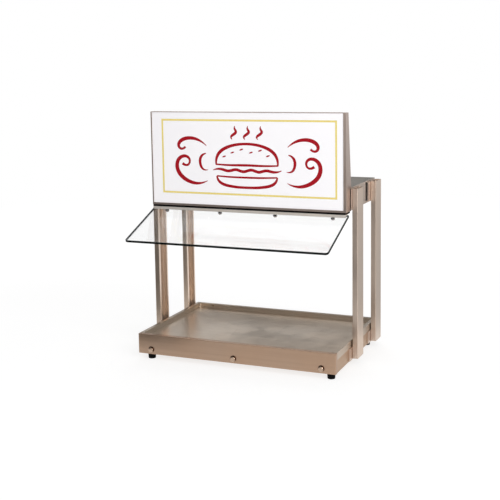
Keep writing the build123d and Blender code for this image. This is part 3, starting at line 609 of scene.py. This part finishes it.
@dataclass(frozen=True)
class FibreMat(Finish):
    """A felted or woven mat: crossed fibres with lighter and darker tufts."""

    tint: Colour
    deep: Colour
    pitch: float
    height: float
    fibre_scale: Point = (1.0, 0.08, 0.6)
    fibre_turns: tuple[float, float] = (28.0, -40.0)

    def paint(self, graph: Graph) -> None:
        """Adds the nodes.

        Args:
            graph: The material's graph.
        """
        layers = []
        for turn in self.fibre_turns:
            lie = graph.turned(self.fibre_scale, (0.0, 0.0, radians(turn)))
            layers.append(graph.noise(self.pitch, 4.0, lie, roughness=0.7))
        fibres = graph.combine(*layers, "MAXIMUM")
        tufts = graph.noise(35.0, 3.0)
        shade = graph.blend(graph.spread(fibres, start=0.45, end=0.75), self.deep, self.tint)
        graph.feed(Base_Color=graph.blend(graph.spread(tufts, 0.0, 0.3), shade, self.deep))
        graph.relief(fibres, 0.7, self.height * MM)
        graph.fix(Roughness=0.9)


@dataclass(frozen=True)
class PrintedInk(Finish):
    """Vinyl film or printed ink: nearly flat, with a slight orange-peel and thin spots."""

    tint: Colour
    # glow: painted light, used on the films of the sign panel
    glow: float = 0.0
    thin_gain: float = 1.08
    thin_lift: float = 0.003

    def paint(self, graph: Graph) -> None:
        """Adds the nodes.

        Args:
            graph: The material's graph.
        """
        thin = graph.noise(240.0, 3.0)
        lighter = tuple(min(1.0, part * self.thin_gain + self.thin_lift) for part in self.tint)
        shade = graph.blend(graph.spread(thin, start=0.4, end=0.7), self.tint, lighter)
        graph.feed(Base_Color=shade, Emission_Color=shade, Roughness=graph.spread(thin, 0.32, 0.42))
        graph.relief(thin, 0.08, 0.02 * MM)
        graph.fix(Emission_Strength=self.glow, Specular_IOR_Level=0.2)


# Painted light and shade on the posts: the front faces take a darker tint and the channels' inside
# faces a lighter one.
POST_TINT: Colour = (0.65, 0.54, 0.455)
POST_INSIDE_PAINTED_LIGHT: Colour = (0.90, 0.76, 0.65)

FASCIA = BrushedSteel("fascia_steel", (0.425, 0.297, 0.215), Grain.X, on_ends=Grain.Y)
PAN = BrushedSteel("pan_steel", (0.44, 0.305, 0.208), Grain.Y, on_ends=Grain.X)
DECK = BrushedSteel(
    "deck_steel", (0.50, 0.43, 0.36), Grain.X, 0.26, 0.42, contrast=0.05, on_ends=Grain.Y
)
LEFT_POST = BrushedSteel(
    "left_post_steel",
    POST_TINT,
    Grain.Z,
    sides=((FRONT, (0.54, 0.43, 0.345)), (RIGHT, POST_INSIDE_PAINTED_LIGHT)),
)
RIGHT_POST = BrushedSteel(
    "right_post_steel",
    POST_TINT,
    Grain.Z,
    sides=((FRONT, (0.61, 0.50, 0.42)), (LEFT, POST_INSIDE_PAINTED_LIGHT)),
)
BRACKET = BrushedSteel("bracket_steel", (0.60, 0.49, 0.42), Grain.Z)
# Painted shade: the canopy's top face takes a darker tint.
CANOPY = BrushedSteel(
    "canopy_steel",
    (0.50, 0.43, 0.38),
    Grain.Y,
    sides=((TOP, (0.235, 0.215, 0.19)),),
    on_ends=Grain.X,
)
SIGN = BrushedSteel("sign_steel", (0.46, 0.375, 0.335), Grain.Z, contrast=0.05, on_ends=Grain.X)
SHEET = SpangledZinc("galvanised_sheet", (0.52, 0.53, 0.53))
ZINC = PlatedMetal("zinc_plate", (0.55, 0.55, 0.54), (0.44, 0.42, 0.36))
# The domes carry painted shade on the upper side of their rims.
DOME = PlatedMetal(
    "dome_steel", (0.50, 0.37, 0.28), (0.40, 0.29, 0.215), 0.06, 0.16, painted_rim_shade=(0.07, 0.032, 0.016)
)
ALUMINIUM = BrushedSteel("satin_aluminium", (0.93, 0.865, 0.80), Grain.X, 0.3, 0.42, metallic=0.75)
DIAL = BrushedSteel("dial_aluminium", (0.66, 0.65, 0.63), Grain.X, 0.28, 0.4)
REFLECTOR = PlatedMetal("bright_reflector", (0.80, 0.79, 0.77), (0.66, 0.62, 0.55), 0.08, 0.2, 40.0)
BRASS = PlatedMetal("satin_brass", (0.66, 0.48, 0.20), (0.44, 0.30, 0.12))
BROWNED = PlatedMetal("browned_steel", (0.42, 0.35, 0.33), (0.33, 0.25, 0.21), 0.3, 0.45)
RUBBER = MouldedPlastic(
    "black_rubber", (0.003, 0.003, 0.003), 0.6, 0.85, 900.0, 0.05,
    (0.008, 0.0075, 0.007), gloss=0.06,
)
BLACK = MouldedPlastic("black_plastic", (0.018, 0.018, 0.019))
ROCKER = MouldedPlastic("rocker_plastic", (0.02, 0.02, 0.022), 0.12, 0.25, 2500.0, 0.005)
WHITE = MouldedPlastic("white_plastic", (0.78, 0.77, 0.72), dust=(0.55, 0.50, 0.42), dust_share=0.5)
CERAMIC = MouldedPlastic(
    "steatite", (0.80, 0.76, 0.66), 0.5, 0.75, 700.0, 0.05, (0.60, 0.50, 0.38), 0.6
)
ENAMEL = MouldedPlastic(
    "white_enamel", (0.66, 0.66, 0.63), 0.2, 0.35, 300.0, 0.02, (0.5, 0.45, 0.36), 0.4
)
TUBE = LitAcrylic("opal_tube", (0.90, 0.90, 0.88), 0.1)
# Painted light: the sign panel glows so that it reads white.
ACRYLIC = LitAcrylic("sign_acrylic", (0.90, 0.882, 0.895), 0.15)
GLASS = PlateGlass(
    "plate_glass",
    (0.90, 0.97, 1.0),
    (0.0012, 0.0024, 0.0021),
    (0.0, -sin(GLASS_TILT), cos(GLASS_TILT)),
)
SHEATH = HeatedSheath("element_sheath", (0.16, 0.145, 0.13))
SILICONE = FibreMat("silicone_mat", (0.42, 0.11, 0.06), (0.26, 0.06, 0.035), 900.0, 0.15)
WOOL = FibreMat("glass_wool", (0.74, 0.66, 0.40), (0.48, 0.40, 0.20), 420.0, 0.8)
# Painted light: the yellow and red films on the sign panel glow a little, standing in for the lamp
# behind the panel.
YELLOW_FILM = PrintedInk("yellow_film", (0.78, 0.64, 0.20), 0.05)
RED_FILM = PrintedInk("red_film", (0.36, 0.001, 0.009), 0.02)
BLACK_INK = PrintedInk("black_ink", (0.02, 0.02, 0.02))
WHITE_INK = PrintedInk("white_ink", (0.80, 0.80, 0.77))


@cache
def material_of(finish: Finish) -> bpy.types.Material:
    """Makes a finish's material once, and then returns the same one."""
    return finish.make()


def deselect_all() -> None:
    """Deselects every object."""
    for item in list(bpy.context.selected_objects):
        item.select_set(False)


def start_piece(name: str) -> Piece:
    """Names the primitive that was just added.

    Args:
        name: The piece's name.

    Returns:
        The piece.
    """
    piece = bpy.context.active_object
    piece.name = name
    piece.data.name = name
    return piece


def pick(piece: Piece) -> None:
    """Selects one object alone and makes it the active one.

    Args:
        piece: The object.
    """
    deselect_all()
    piece.select_set(True)
    bpy.context.view_layer.objects.active = piece


def settle(piece: Piece) -> None:
    """Applies the object's place, turn and scale to its mesh."""
    pick(piece)
    bpy.ops.object.transform_apply(location=True, rotation=True, scale=True)


def apply_modifier(piece: Piece, kind: str, **settings: float | int | str | bool) -> None:
    """Adds a modifier and applies it.

    Args:
        piece: The object.
        kind: The modifier's type.
        settings: Its properties.
    """
    pick(piece)
    modifier = piece.modifiers.new(kind.lower(), kind)
    for key, value in settings.items():
        setattr(modifier, key, value)
    bpy.ops.object.modifier_apply(modifier=modifier.name)


def round_edges(piece: Piece, width: float, segments: int = 2) -> None:
    """Rounds a piece's sharp edges by a width in metres."""
    apply_modifier(piece, "BEVEL", width=width, segments=segments, limit_method="ANGLE")


def smooth(piece: Piece, angle: float = 35.0) -> None:
    """Shades a piece smooth up to an angle in degrees."""
    pick(piece)
    bpy.ops.object.shade_smooth_by_angle(angle=radians(angle))


def join_all(pieces: list[Piece], name: str) -> Piece:
    """Joins objects into one.

    Args:
        pieces: The objects.
        name: The joined object's name.

    Returns:
        The joined object.
    """
    pick(pieces[0])
    for piece in pieces[1:]:
        piece.select_set(True)
    bpy.ops.object.join()
    return start_piece(name)


def hand_over(piece: Piece, finish: Finish, body: str) -> None:
    """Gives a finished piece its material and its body.

    Args:
        piece: The piece.
        finish: Its finish.
        body: The body that it rides on.
    """
    piece.data.materials.clear()
    piece.data.materials.append(material_of(finish))
    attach(piece, body)
    log.info("piece %s rides on %s", piece.name, body)


def dress(node: str, finish: Finish) -> None:
    """Gives a node of the frame its finish.

    Args:
        node: The node's name.
        finish: Its finish.
    """
    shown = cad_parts[node]
    material = material_of(finish)
    if not shown.material_slots:
        shown.data.materials.append(material)
    for slot in shown.material_slots:
        slot.material = material
    log.info("node %s dressed in %s", node, finish.name)


def add_plane(name: str, centre: Point, size: tuple[float, float], turn: Point) -> Piece:
    """Models a flat rectangle.

    Args:
        name: The piece's name.
        centre: Its middle.
        size: Its width and height.
        turn: Its turn in radians.

    Returns:
        The rectangle.
    """
    deselect_all()
    bpy.ops.mesh.primitive_plane_add(size=1.0, location=centre, rotation=turn)
    piece = start_piece(name)
    piece.scale = (*size, 1.0)
    settle(piece)
    return piece


def add_block(name: str, size: Point, place: Point = (0.0, 0.0, 0.0)) -> Piece:
    """Starts a block, whose size isn't applied yet.

    Args:
        name: The piece's name.
        size: Its size along the axes.
        place: Its middle.

    Returns:
        The block.
    """
    deselect_all()
    bpy.ops.mesh.primitive_cube_add(size=1.0, location=place)
    piece = start_piece(name)
    piece.scale = size
    return piece


def flat_frame(
    name: str, centre: Point, size: tuple[float, float], line: float, thickness: float, turn: Point
) -> Piece:
    """Models a thin rectangular frame that stands on an upright face.

    Args:
        name: The piece's name.
        centre: The middle of its back, on the face.
        size: Its outer width and height.
        line: The width of its line.
        thickness: How far it stands out.
        turn: Its turn in radians.

    Returns:
        The frame.
    """
    piece = add_plane(name, centre, size, turn)
    bpy.ops.object.mode_set(mode="EDIT")
    bpy.ops.mesh.select_all(action="SELECT")
    bpy.ops.mesh.inset(thickness=line)
    bpy.ops.mesh.delete(type="FACE")
    bpy.ops.object.mode_set(mode="OBJECT")
    apply_modifier(piece, "SOLIDIFY", thickness=thickness, offset=1.0)
    round_edges(piece, EDGE_SHARE * thickness)
    return piece


@dataclass
class Assembly:
    """What all sub-assemblies share: the finishes of their nodes, and the case as their body."""

    finishes: ClassVar[dict[str, Finish]] = {}
    body: str = "case"

    def build(self) -> None:
        """Dresses the nodes."""
        for node, finish in self.finishes.items():
            dress(node, finish)


@dataclass
class HeatedBase(Assembly):
    """The base: pan, fascia, deck, heating and feet."""

    finishes: ClassVar[dict[str, Finish]] = dict(
        base_pan=PAN, front_fascia=FASCIA, deck_tray=DECK, deck_heater_mat=SILICONE,
        deck_insulation=WOOL, insulation_rails=SHEET, fascia_screws=DOME, fascia_nuts=ZINC,
        feet=RUBBER, foot_screws=ZINC, foot_nuts=ZINC, terminal_block=WHITE,
    )


@dataclass
class PostFrame(Assembly):
    """The four posts with their brackets, nut bars and bolts."""

    finishes: ClassVar[dict[str, Finish]] = dict(
        post_front_left=LEFT_POST, post_front_right=RIGHT_POST, post_rear_left=LEFT_POST,
        post_rear_right=RIGHT_POST, lower_post_brackets=BRACKET, upper_post_brackets=BRACKET,
        lower_nut_bars=ZINC, upper_nut_bars=ZINC, post_bolts=ZINC,
    )


@dataclass
class HeatedCanopy(Assembly):
    """The canopy with its overhead heater and the sign's ballast."""

    finishes: ClassVar[dict[str, Finish]] = dict(
        canopy_cover=CANOPY, canopy_pan=SHEET, heater_reflector=REFLECTOR,
        heater_element=SHEATH, element_bushings=CERAMIC, element_clip=SHEET, heater_guard=ZINC,
        guard_screws=ZINC, sign_ballast=ENAMEL,
    )


# The sign's strokes, as x and z from the panel's middle and half the width, in millimetres.
CROWN: Stroke = (
    (-96, -14, 2.5), (-98, 16, 5.5), (-62, 42, 5.0), (0, 50, 3.5),
    (62, 42, 5.0), (98, 16, 5.5), (96, -14, 2.5),
)
LID: Stroke = ((-97, -13, 2.5), (-50, -16, 3.2), (0, -12, 4.4), (50, -16, 3.2), (97, -13, 2.5))
LEAF: Stroke = (
    (-106, -30, 1.2), (-84, -22, 4.5), (-60, -38, 4.5), (-34, -22, 4.5), (-10, -38, 4.5),
    (14, -22, 4.5), (38, -38, 4.5), (62, -22, 4.5), (86, -36, 4.5), (107, -27, 1.2),
)
HEEL: Stroke = (
    (-94, -47, 2.4), (-92, -68, 5.0), (-50, -78, 4.5), (0, -79, 3.6),
    (50, -78, 4.5), (92, -68, 5.0), (94, -47, 2.4),
)
CUT: Stroke = ((-94, -47, 2.4), (-45, -50, 2.8), (0, -49, 3.4), (45, -50, 2.8), (94, -47, 2.4))
SEED: Stroke = ((-6, -2, 0.6), (-3, -1, 2.2), (0, 0, 2.6), (3, 1, 2.2), (6, 2, 0.6))
SEED_PLACES = ((-44, 22), (-16, 31), (14, 23), (42, 29), (66, 14), (-70, 10))
WAVE: Stroke = (
    (-4, 60, 0.8), (-12, 67, 3.6), (3, 75, 4.6), (12, 83, 4.0), (1, 91, 3.2), (5, 99, 0.7),
)
WAVE_PLACES = (-40, 0, 40)
SWEEP: Stroke = (
    (124, -62, 0.8), (150, -76, 4.2), (196, -66, 6.4), (226, -34, 6.8), (222, 2, 6.0),
    (192, 14, 4.6), (174, -6, 3.4), (190, -24, 3.0), (205, -13, 4.4),
)
CURL: Stroke = (
    (126, 40, 0.8), (146, 58, 4.0), (182, 66, 5.8), (214, 54, 6.0),
    (220, 34, 4.6), (204, 26, 3.0), (194, 36, 3.6),
)
HOOK: Stroke = ((122, -30, 0.7), (138, -34, 3.2), (152, -14, 5.0), (146, 14, 4.6), (128, 18, 1.6))


def placed(line: Stroke, x: int = 0, z: int = 0, side: int = 1) -> Stroke:
    """Moves a stroke by x and z, and mirrors it where the side is -1."""
    return tuple((x + side * along, z + up, half) for along, up, half in line)


@dataclass
class SignBox(Assembly):
    """The lit sign: housing, panel with its printed border and motif, lamp and holders."""

    panel_body: str = "sign_panel"
    border_left: float = 33.5 * MM
    border_right: float = 24.5 * MM
    border_low: float = 35.0 * MM
    border_high: float = 20.0 * MM
    border_line: float = 5.5 * MM
    film: float = 0.15 * MM
    widest_half: float = 7.0 * MM
    stroke_order: int = 4
    stroke_steps: int = 12
    stroke_facets: int = 3
    holder_depth: float = 12.0 * MM
    cap_length: float = 9.0 * MM
    cap_wall: float = 0.25 * MM
    cap_round: float = 0.8 * MM
    cap_facets: int = 48
    finishes: ClassVar[dict[str, Finish]] = dict(
        sign_housing=SIGN, sign_panel=ACRYLIC, sign_guides=SHEET, sign_lamp=TUBE,
        lamp_holders=WHITE, sign_screws=ZINC,
    )

    def build(self) -> None:
        """Dresses the sign's nodes and adds the film on its panel and the lamp's caps."""
        super().build()
        self.print_border()
        seeds = [placed(SEED, x, z) for x, z in SEED_PLACES]
        self.lay_film("sign_bun", [CROWN, LID, LEAF, HEEL, CUT, *seeds])
        self.lay_film("sign_steam", [placed(WAVE, x) for x in WAVE_PLACES])
        scrolls = [placed(line, side=side) for side in (-1, 1) for line in (SWEEP, CURL, HOOK)]
        self.lay_film("sign_scrolls", scrolls)
        self.cap_lamp()

    def print_middle(self) -> float:
        """Gives the x of the print's middle, which is that of the housing and not of the panel."""
        low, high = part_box("sign_panel")
        return (low.x + self.border_left + high.x - self.border_right) / 2

    def print_border(self) -> None:
        """Lays the yellow border line on the panel."""
        low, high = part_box("sign_panel")
        bottom = low.z + self.border_low
        top = high.z - self.border_high
        size = (high.x - low.x - self.border_left - self.border_right, top - bottom)
        centre = (self.print_middle(), low.y, (bottom + top) / 2)
        piece = flat_frame("sign_border", centre, size, self.border_line, self.film, UPRIGHT)
        hand_over(piece, YELLOW_FILM, self.panel_body)

    def lay_film(self, name: str, lines: list[Stroke]) -> None:
        """Lays one red drawing on the panel.

        Args:
            name: The piece's name.
            lines: Its strokes.
        """
        parts = [self.stroke(f"{name}_{i}", line) for i, line in enumerate(lines)]
        hand_over(join_all(parts, name), RED_FILM, self.panel_body)

    def stroke(self, name: str, points: Stroke) -> Piece:
        """Draws one swelling brush stroke on the panel's face.

        Args:
            name: The stroke's name.
            points: Its line as x and z from the panel's middle and half its width, in millimetres.

        Returns:
            The stroke as a mesh.
        """
        low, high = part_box("sign_panel")
        middle_x, middle_z = self.print_middle(), (low.z + high.z) / 2
        deselect_all()
        bpy.ops.curve.primitive_nurbs_path_add(location=(0.0, 0.0, 0.0))
        line = bpy.context.active_object
        spline = line.data.splines[0]
        spline.points.add(len(points) - len(spline.points))
        for knot, (x, z, half) in zip(spline.points, points):
            knot.co = (middle_x + x * MM, 0.0, middle_z + z * MM, 1.0)
            knot.radius = half
        spline.order_u = self.stroke_order
        spline.use_endpoint_u = True
        spline.resolution_u = self.stroke_steps
        line.data.bevel_depth = MM
        line.data.bevel_resolution = self.stroke_facets
        line.data.use_fill_caps = True
        bpy.ops.object.convert(target="MESH")
        piece = start_piece(name)
        piece.scale = (1.0, self.film / self.widest_half, 1.0)
        piece.location = (0.0, low.y, 0.0)
        settle(piece)
        smooth(piece)
        return piece

    def cap_lamp(self) -> None:
        """Puts a metal cap on each end of the lamp tube."""
        low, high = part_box("sign_lamp")
        holder_low, holder_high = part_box("lamp_holders")
        centre = (low + high) / 2
        inner = min(abs(holder_low.x), abs(holder_high.x)) - self.holder_depth
        caps = []
        for side in (-1, 1):
            deselect_all()
            bpy.ops.mesh.primitive_cylinder_add(
                vertices=self.cap_facets,
                radius=(high.z - low.z) / 2 + self.cap_wall,
                depth=self.cap_length,
                location=(side * (inner - self.cap_length / 2), centre.y, centre.z),
                rotation=(0.0, pi / 2, 0.0),
            )
            cap = start_piece(f"lamp_cap_{side + 1}")
            settle(cap)
            round_edges(cap, self.cap_round, segments=3)
            smooth(cap)
            caps.append(cap)
        hand_over(join_all(caps, "lamp_caps"), ALUMINIUM, self.body)


@dataclass
class GlassGuard(Assembly):
    """The tilted glass with its bar, strip, washers and screws."""

    finishes: ClassVar[dict[str, Finish]] = dict(
        glass_gasket=RUBBER, glass_bar=ALUMINIUM, glass_guard=GLASS, glass_washers=RUBBER,
        glass_screws=BROWNED, bar_screws=ZINC,
    )


@dataclass
class RearControls(Assembly):
    """The operator's controls: dials, knobs, switches, inlet and rating plate."""

    steps: int = 7
    step_angle: float = 45.0
    digit_height: float = 3.4 * MM
    digit_radius: float = 18.6 * MM
    ticks_per_step: int = 4
    tick_width: float = 0.25 * MM
    tick_length: float = 0.7 * MM
    tick_radius: float = 16.55 * MM
    ink: float = 0.08 * MM
    pointer_length: float = 9.6 * MM
    pointer_width: float = 1.7 * MM
    pointer_depth: float = 1.7 * MM
    pointer_sink: float = 1.1 * MM
    pointer_offset: float = 8.0 * MM
    pointer_round: float = 0.25 * MM
    plate_margin: float = 2.4 * MM
    plate_line: float = 0.5 * MM
    bezel: float = 2.2 * MM
    rocker_tilt: float = 9.0
    rocker_pivot: float = 0.8 * MM
    rocker_valley: float = 2.2 * MM
    rocker_crown: float = 3.6 * MM
    rocker_end: float = 11.66 * MM
    mark_reach: float = 6.2 * MM
    bar_width: float = 0.7 * MM
    bar_length: float = 4.4 * MM
    ring_radius: float = 1.9 * MM
    ring_line: float = 0.36 * MM
    ring_steps: int = 40
    ring_facets: int = 8
    finishes: ClassVar[dict[str, Finish]] = dict(
        deck_thermostat=BLACK, deck_dial=DIAL, deck_knob=BLACK, deck_knob_shaft=ZINC,
        canopy_regulator=BLACK, canopy_dial=DIAL, canopy_knob=BLACK, canopy_knob_shaft=ZINC,
        power_switch_body=BLACK, power_switch_rocker=ROCKER, light_switch_body=BLACK,
        light_switch_rocker=ROCKER, control_nuts=ZINC, power_inlet=BLACK, inlet_blades=BRASS,
        rating_plate=DIAL,
    )

    def build(self) -> None:
        """Dresses the controls' nodes and adds their printed marks."""
        super().build()
        for place in ("deck", "canopy"):
            self.print_dial(place)
            self.fill_pointer(place)
        for place in ("power", "light"):
            self.mark_rocker(place)
        self.rule_plate()

    def print_dial(self, place: str) -> None:
        """Prints the digits and ticks of a dial.

        Args:
            place: "deck" or "canopy".
        """
        low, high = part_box(f"{place}_dial")
        centre = (low + high) / 2

        def on_dial(radius: float, angle: float) -> Point:
            """The point of the dial's face at a radius and an angle from the top."""
            return (centre.x - radius * sin(angle), high.y, centre.z + radius * cos(angle))

        parts = []
        for step in range(self.steps):
            deselect_all()
            spot = on_dial(self.digit_radius, radians(step * self.step_angle))
            bpy.ops.object.text_add(location=spot, rotation=UPRIGHT_REAR)
            label = bpy.context.active_object.data
            label.body = str(step)
            label.size = self.digit_height
            label.align_x = label.align_y = "CENTER"
            label.extrude = self.ink
            bpy.ops.object.convert(target="MESH")
            digit = start_piece(f"{place}_digit_{step}")
            settle(digit)
            parts.append(digit)
        tick_size = (self.tick_width, 2 * self.ink, self.tick_length)
        for step in range(self.ticks_per_step * (self.steps - 1) + 1):
            angle = radians(step * self.step_angle / self.ticks_per_step)
            tick = add_block(f"{place}_tick_{step}", tick_size)
            tick.rotation_euler = (0.0, -angle, 0.0)
            tick.location = on_dial(self.tick_radius, angle)
            settle(tick)
            parts.append(tick)
        hand_over(join_all(parts, f"{place}_dial_print"), BLACK_INK, self.body)

    def fill_pointer(self, place: str) -> None:
        """Fills the pointer slot of a knob with a white bar.

        Args:
            place: "deck" or "canopy".
        """
        low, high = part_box(f"{place}_knob")
        centre = (low + high) / 2
        piece = add_block(
            f"{place}_knob_pointer",
            (self.pointer_width, self.pointer_depth, self.pointer_length),
            (centre.x, high.y - self.pointer_sink, centre.z + self.pointer_offset),
        )
        settle(piece)
        round_edges(piece, self.pointer_round)
        smooth(piece)
        hand_over(piece, WHITE_INK, f"{place}_knob")

    def mark_rocker(self, place: str) -> None:
        """Puts the on bar and the off ring on a rocker.

        Args:
            place: "power" or "light".
        """
        low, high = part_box(f"{place}_switch_body")
        middle = (low + high) / 2
        turn = radians(self.rocker_tilt)
        up = Vector((0.0, sin(turn), cos(turn)))
        out = Vector((0.0, cos(turn), -sin(turn)))
        seat = Vector((middle.x, high.y - self.bezel + self.rocker_pivot, middle.z))
        rise = self.rocker_crown - self.rocker_valley
        slope = atan2(rise, self.rocker_end)
        height = self.rocker_valley + self.mark_reach * rise / self.rocker_end
        marks = []
        for side in (1, -1):
            origin = seat + side * self.mark_reach * up + height * out
            along = up * cos(slope) + out * side * sin(slope)
            normal = out * cos(slope) - up * side * sin(slope)
            if side == 1:
                size = (self.bar_width, self.bar_length, 2 * self.ink)
                mark = add_block(f"{place}_on_mark", size)
                settle(mark)
            else:
                deselect_all()
                bpy.ops.mesh.primitive_torus_add(
                    major_segments=self.ring_steps,
                    minor_segments=self.ring_facets,
                    major_radius=self.ring_radius,
                    minor_radius=self.ring_line,
                )
                mark = start_piece(f"{place}_off_mark")
                mark.scale = (1.0, 1.0, self.ink / self.ring_line)
                settle(mark)
                smooth(mark)
            lie = Matrix((along.cross(normal), along, normal)).transposed().to_4x4()
            mark.matrix_world = Matrix.Translation(origin) @ lie
            settle(mark)
            marks.append(mark)
        piece = join_all(marks, f"{place}_rocker_marks")
        hand_over(piece, WHITE_INK, f"{place}_rocker")

    def rule_plate(self) -> None:
        """Engraves a plain ruled line round the bare rating plate."""
        low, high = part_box("rating_plate")
        centre = ((low.x + high.x) / 2, high.y, (low.z + high.z) / 2)
        size = (high.x - low.x - 2 * self.plate_margin, high.z - low.z - 2 * self.plate_margin)
        piece = flat_frame("plate_rule", centre, size, self.plate_line, self.ink, UPRIGHT_REAR)
        hand_over(piece, BLACK_INK, self.body)


@dataclass(frozen=True)
class Lamp:
    """A square soft lamp, with its side in metres and its power in watts."""

    name: str
    place: Point
    size: float
    power: float


@dataclass(frozen=True)
class Card:
    """A grey card that only reflections show, as a studio does for metal."""

    name: str
    centre: Point
    size: tuple[float, float]
    turn: Point
    tone: float = 0.10


@dataclass
class Studio:
    """A white floor without edges, soft lamps and the camera of the photograph."""

    floor_size: float = 60.0
    floor_tone: Colour = (0.85, 0.85, 0.85)
    floor_glow: float = 1.23
    floor_share: float = 0.6
    far_glow: float = 1.0
    far_share: float = 1.0
    floor_fade: tuple[float, float] = (1.2, 3.5)
    room_light: float = 0.55
    zenith_tone: float = 0.4
    zenith_fade: tuple[float, float] = (0.12, 0.6)
    aim: Point = (0.0, 0.0, 0.35)
    eye: Point = (1.09635, -2.63813, 0.86443)
    yaw: float = 22.85
    pitch: float = -7.49
    roll: float = -0.87
    focal_pixels: float = 978.93
    centre_row: float = 190.0
    sensor: float = 36.0
    view_reach: float = 200.0
    lamps: tuple[Lamp, ...] = (
        Lamp("key_lamp", (2.6, -1.4, 2.0), 1.8, 26.0),
        Lamp("fill_lamp", (1.5, -2.9, 1.0), 1.2, 28.0),
        Lamp("rear_lamp", (-0.8, 2.8, 2.2), 2.0, 26.0),
    )
    cards: tuple[Card, ...] = (
        Card("front_card", (-1.4, -2.075, 0.004), (3.7, 2.95), LYING),
        Card("low_card", (-1.75, -0.46, 0.004), (3.0, 0.28), LYING),
        Card("side_card", (1.8, 2.75, 0.004), (2.8, 5.0), LYING, 0.58),
        Card("rear_card", (-1.0, 3.0, 1.5), (2.6, 2.0), UPRIGHT),
        Card("low_wall_card", (-0.9, -3.7, 0.25), (4.2, 0.5), UPRIGHT, 0.35),
        Card("left_wall_card", (-3.5, -3.4, 1.1), (3.4, 2.2), UPRIGHT, 0.12),
        Card("right_card", (2.35, -0.75, 0.004), (1.9, 1.5), LYING, 0.1),
    )

    def build(self) -> None:
        """Makes the floor, the world, the lamps, the cards and the camera."""
        self.lay_floor()
        self.light_world()
        for lamp in self.lamps:
            self.hang_lamp(lamp)
        for card in self.cards:
            self.hang_card(card)
        self.set_camera()

    def lay_floor(self) -> None:
        """Lays the floor, which looks white but keeps the shadow."""
        deselect_all()
        bpy.ops.mesh.primitive_plane_add(size=self.floor_size, location=(0.0, 0.0, 0.0))
        floor = start_piece("floor")
        material = bpy.data.materials.new("white_floor")
        nodes = NodeSet(material)
        matt = nodes.add("ShaderNodeBsdfDiffuse", Color=(*self.floor_tone, 1.0))
        glow = nodes.add("ShaderNodeEmission")
        distance = nodes.add("ShaderNodeVectorMath")
        distance.operation = "LENGTH"
        nodes.join(nodes.add("ShaderNodeTexCoord").outputs["Object"], distance.inputs[0])
        away = distance.outputs["Value"]
        strength = nodes.spread(away, self.floor_glow, self.far_glow, *self.floor_fade)
        nodes.join(strength, glow.inputs["Strength"])
        share = nodes.spread(away, self.floor_share, self.far_share, *self.floor_fade)
        nodes.show(nodes.mix(nodes.combine(self.seen(nodes), share, "MULTIPLY"), matt, glow))
        floor.data.materials.append(material)

    def seen(self, nodes: NodeSet) -> Socket:
        """Adds the sum of camera, glossy and transmission rays, clamped to 1.

        Args:
            nodes: The nodes of the floor or of the world.

        Returns:
            The sum.
        """
        path = nodes.add("ShaderNodeLightPath")
        total = path.outputs["Is Camera Ray"]
        for name in ("Is Glossy Ray", "Is Transmission Ray"):
            total = nodes.combine(total, path.outputs[name], clamp=True)
        return total

    def light_world(self) -> None:
        """Makes the world white where it is seen, and a plain soft light elsewhere."""
        world = bpy.data.worlds.new("white_room")
        nodes = NodeSet(world)
        colour = (1.0, 1.0, 1.0, 1.0)
        plain = nodes.add("ShaderNodeBackground", Color=colour, Strength=self.room_light)
        white = nodes.add("ShaderNodeBackground", Color=colour)
        height = nodes.add("ShaderNodeSeparateXYZ")
        nodes.join(nodes.add("ShaderNodeTexCoord").outputs["Generated"], height.inputs[0])
        tone = nodes.spread(height.outputs["Z"], 1.0, self.zenith_tone, *self.zenith_fade)
        nodes.join(tone, white.inputs["Strength"])
        nodes.show(nodes.mix(self.seen(nodes), plain, white), "ShaderNodeOutputWorld")
        bpy.context.scene.world = world

    def hang_lamp(self, lamp: Lamp) -> None:
        """Hangs a lamp and turns it to the case.

        Args:
            lamp: The lamp.
        """
        data = bpy.data.lights.new(lamp.name, "AREA")
        data.size = lamp.size
        data.energy = lamp.power
        item = bpy.data.objects.new(lamp.name, data)
        item.location = lamp.place
        ray = Vector(self.aim) - Vector(lamp.place)
        item.rotation_euler = ray.to_track_quat("-Z", "Y").to_euler()
        bpy.context.scene.collection.objects.link(item)

    def hang_card(self, card: Card) -> None:
        """Hangs a card, hidden from every ray but a reflected one.

        Args:
            card: The card.
        """
        item = add_plane(card.name, card.centre, card.size, card.turn)
        material = bpy.data.materials.new(card.name)
        nodes = NodeSet(material)
        nodes.show(nodes.add("ShaderNodeEmission", Strength=card.tone))
        item.data.materials.append(material)
        item.visible_camera = False
        item.visible_diffuse = False
        item.visible_transmission = False
        item.visible_volume_scatter = False
        item.visible_shadow = False

    def set_camera(self) -> None:
        """Sets the camera where the photograph's camera stood."""
        yaw, pitch, roll = radians(self.yaw), radians(self.pitch), radians(self.roll)
        ahead = Vector((-sin(yaw) * cos(pitch), cos(yaw) * cos(pitch), sin(pitch)))
        right = Vector((cos(yaw), sin(yaw), 0.0))
        up = right.cross(ahead)
        level = right * cos(roll) + up * sin(roll)
        upright = up * cos(roll) - right * sin(roll)
        data = bpy.data.cameras.new("camera")
        data.sensor_width = self.sensor
        data.lens = self.sensor * self.focal_pixels / PHOTO_PIXELS
        data.shift_y = (self.centre_row - PHOTO_PIXELS / 2) / PHOTO_PIXELS
        data.clip_end = self.view_reach
        camera = bpy.data.objects.new("camera", data)
        turn = Matrix((level, upright, -ahead)).transposed().to_4x4()
        camera.matrix_world = Matrix.Translation(self.eye) @ turn
        bpy.context.scene.collection.objects.link(camera)
        bpy.context.scene.camera = camera


def main() -> None:
    """Builds the studio and the sub-assemblies, in order."""
    logging.basicConfig(level=logging.INFO, format="%(name)s: %(message)s")
    bpy.context.scene.view_settings.view_transform = "Standard"
    Studio().build()
    for assembly in (HeatedBase, PostFrame, HeatedCanopy, SignBox, GlassGuard, RearControls):
        assembly().build()


if __name__ == "__main__":
    main()
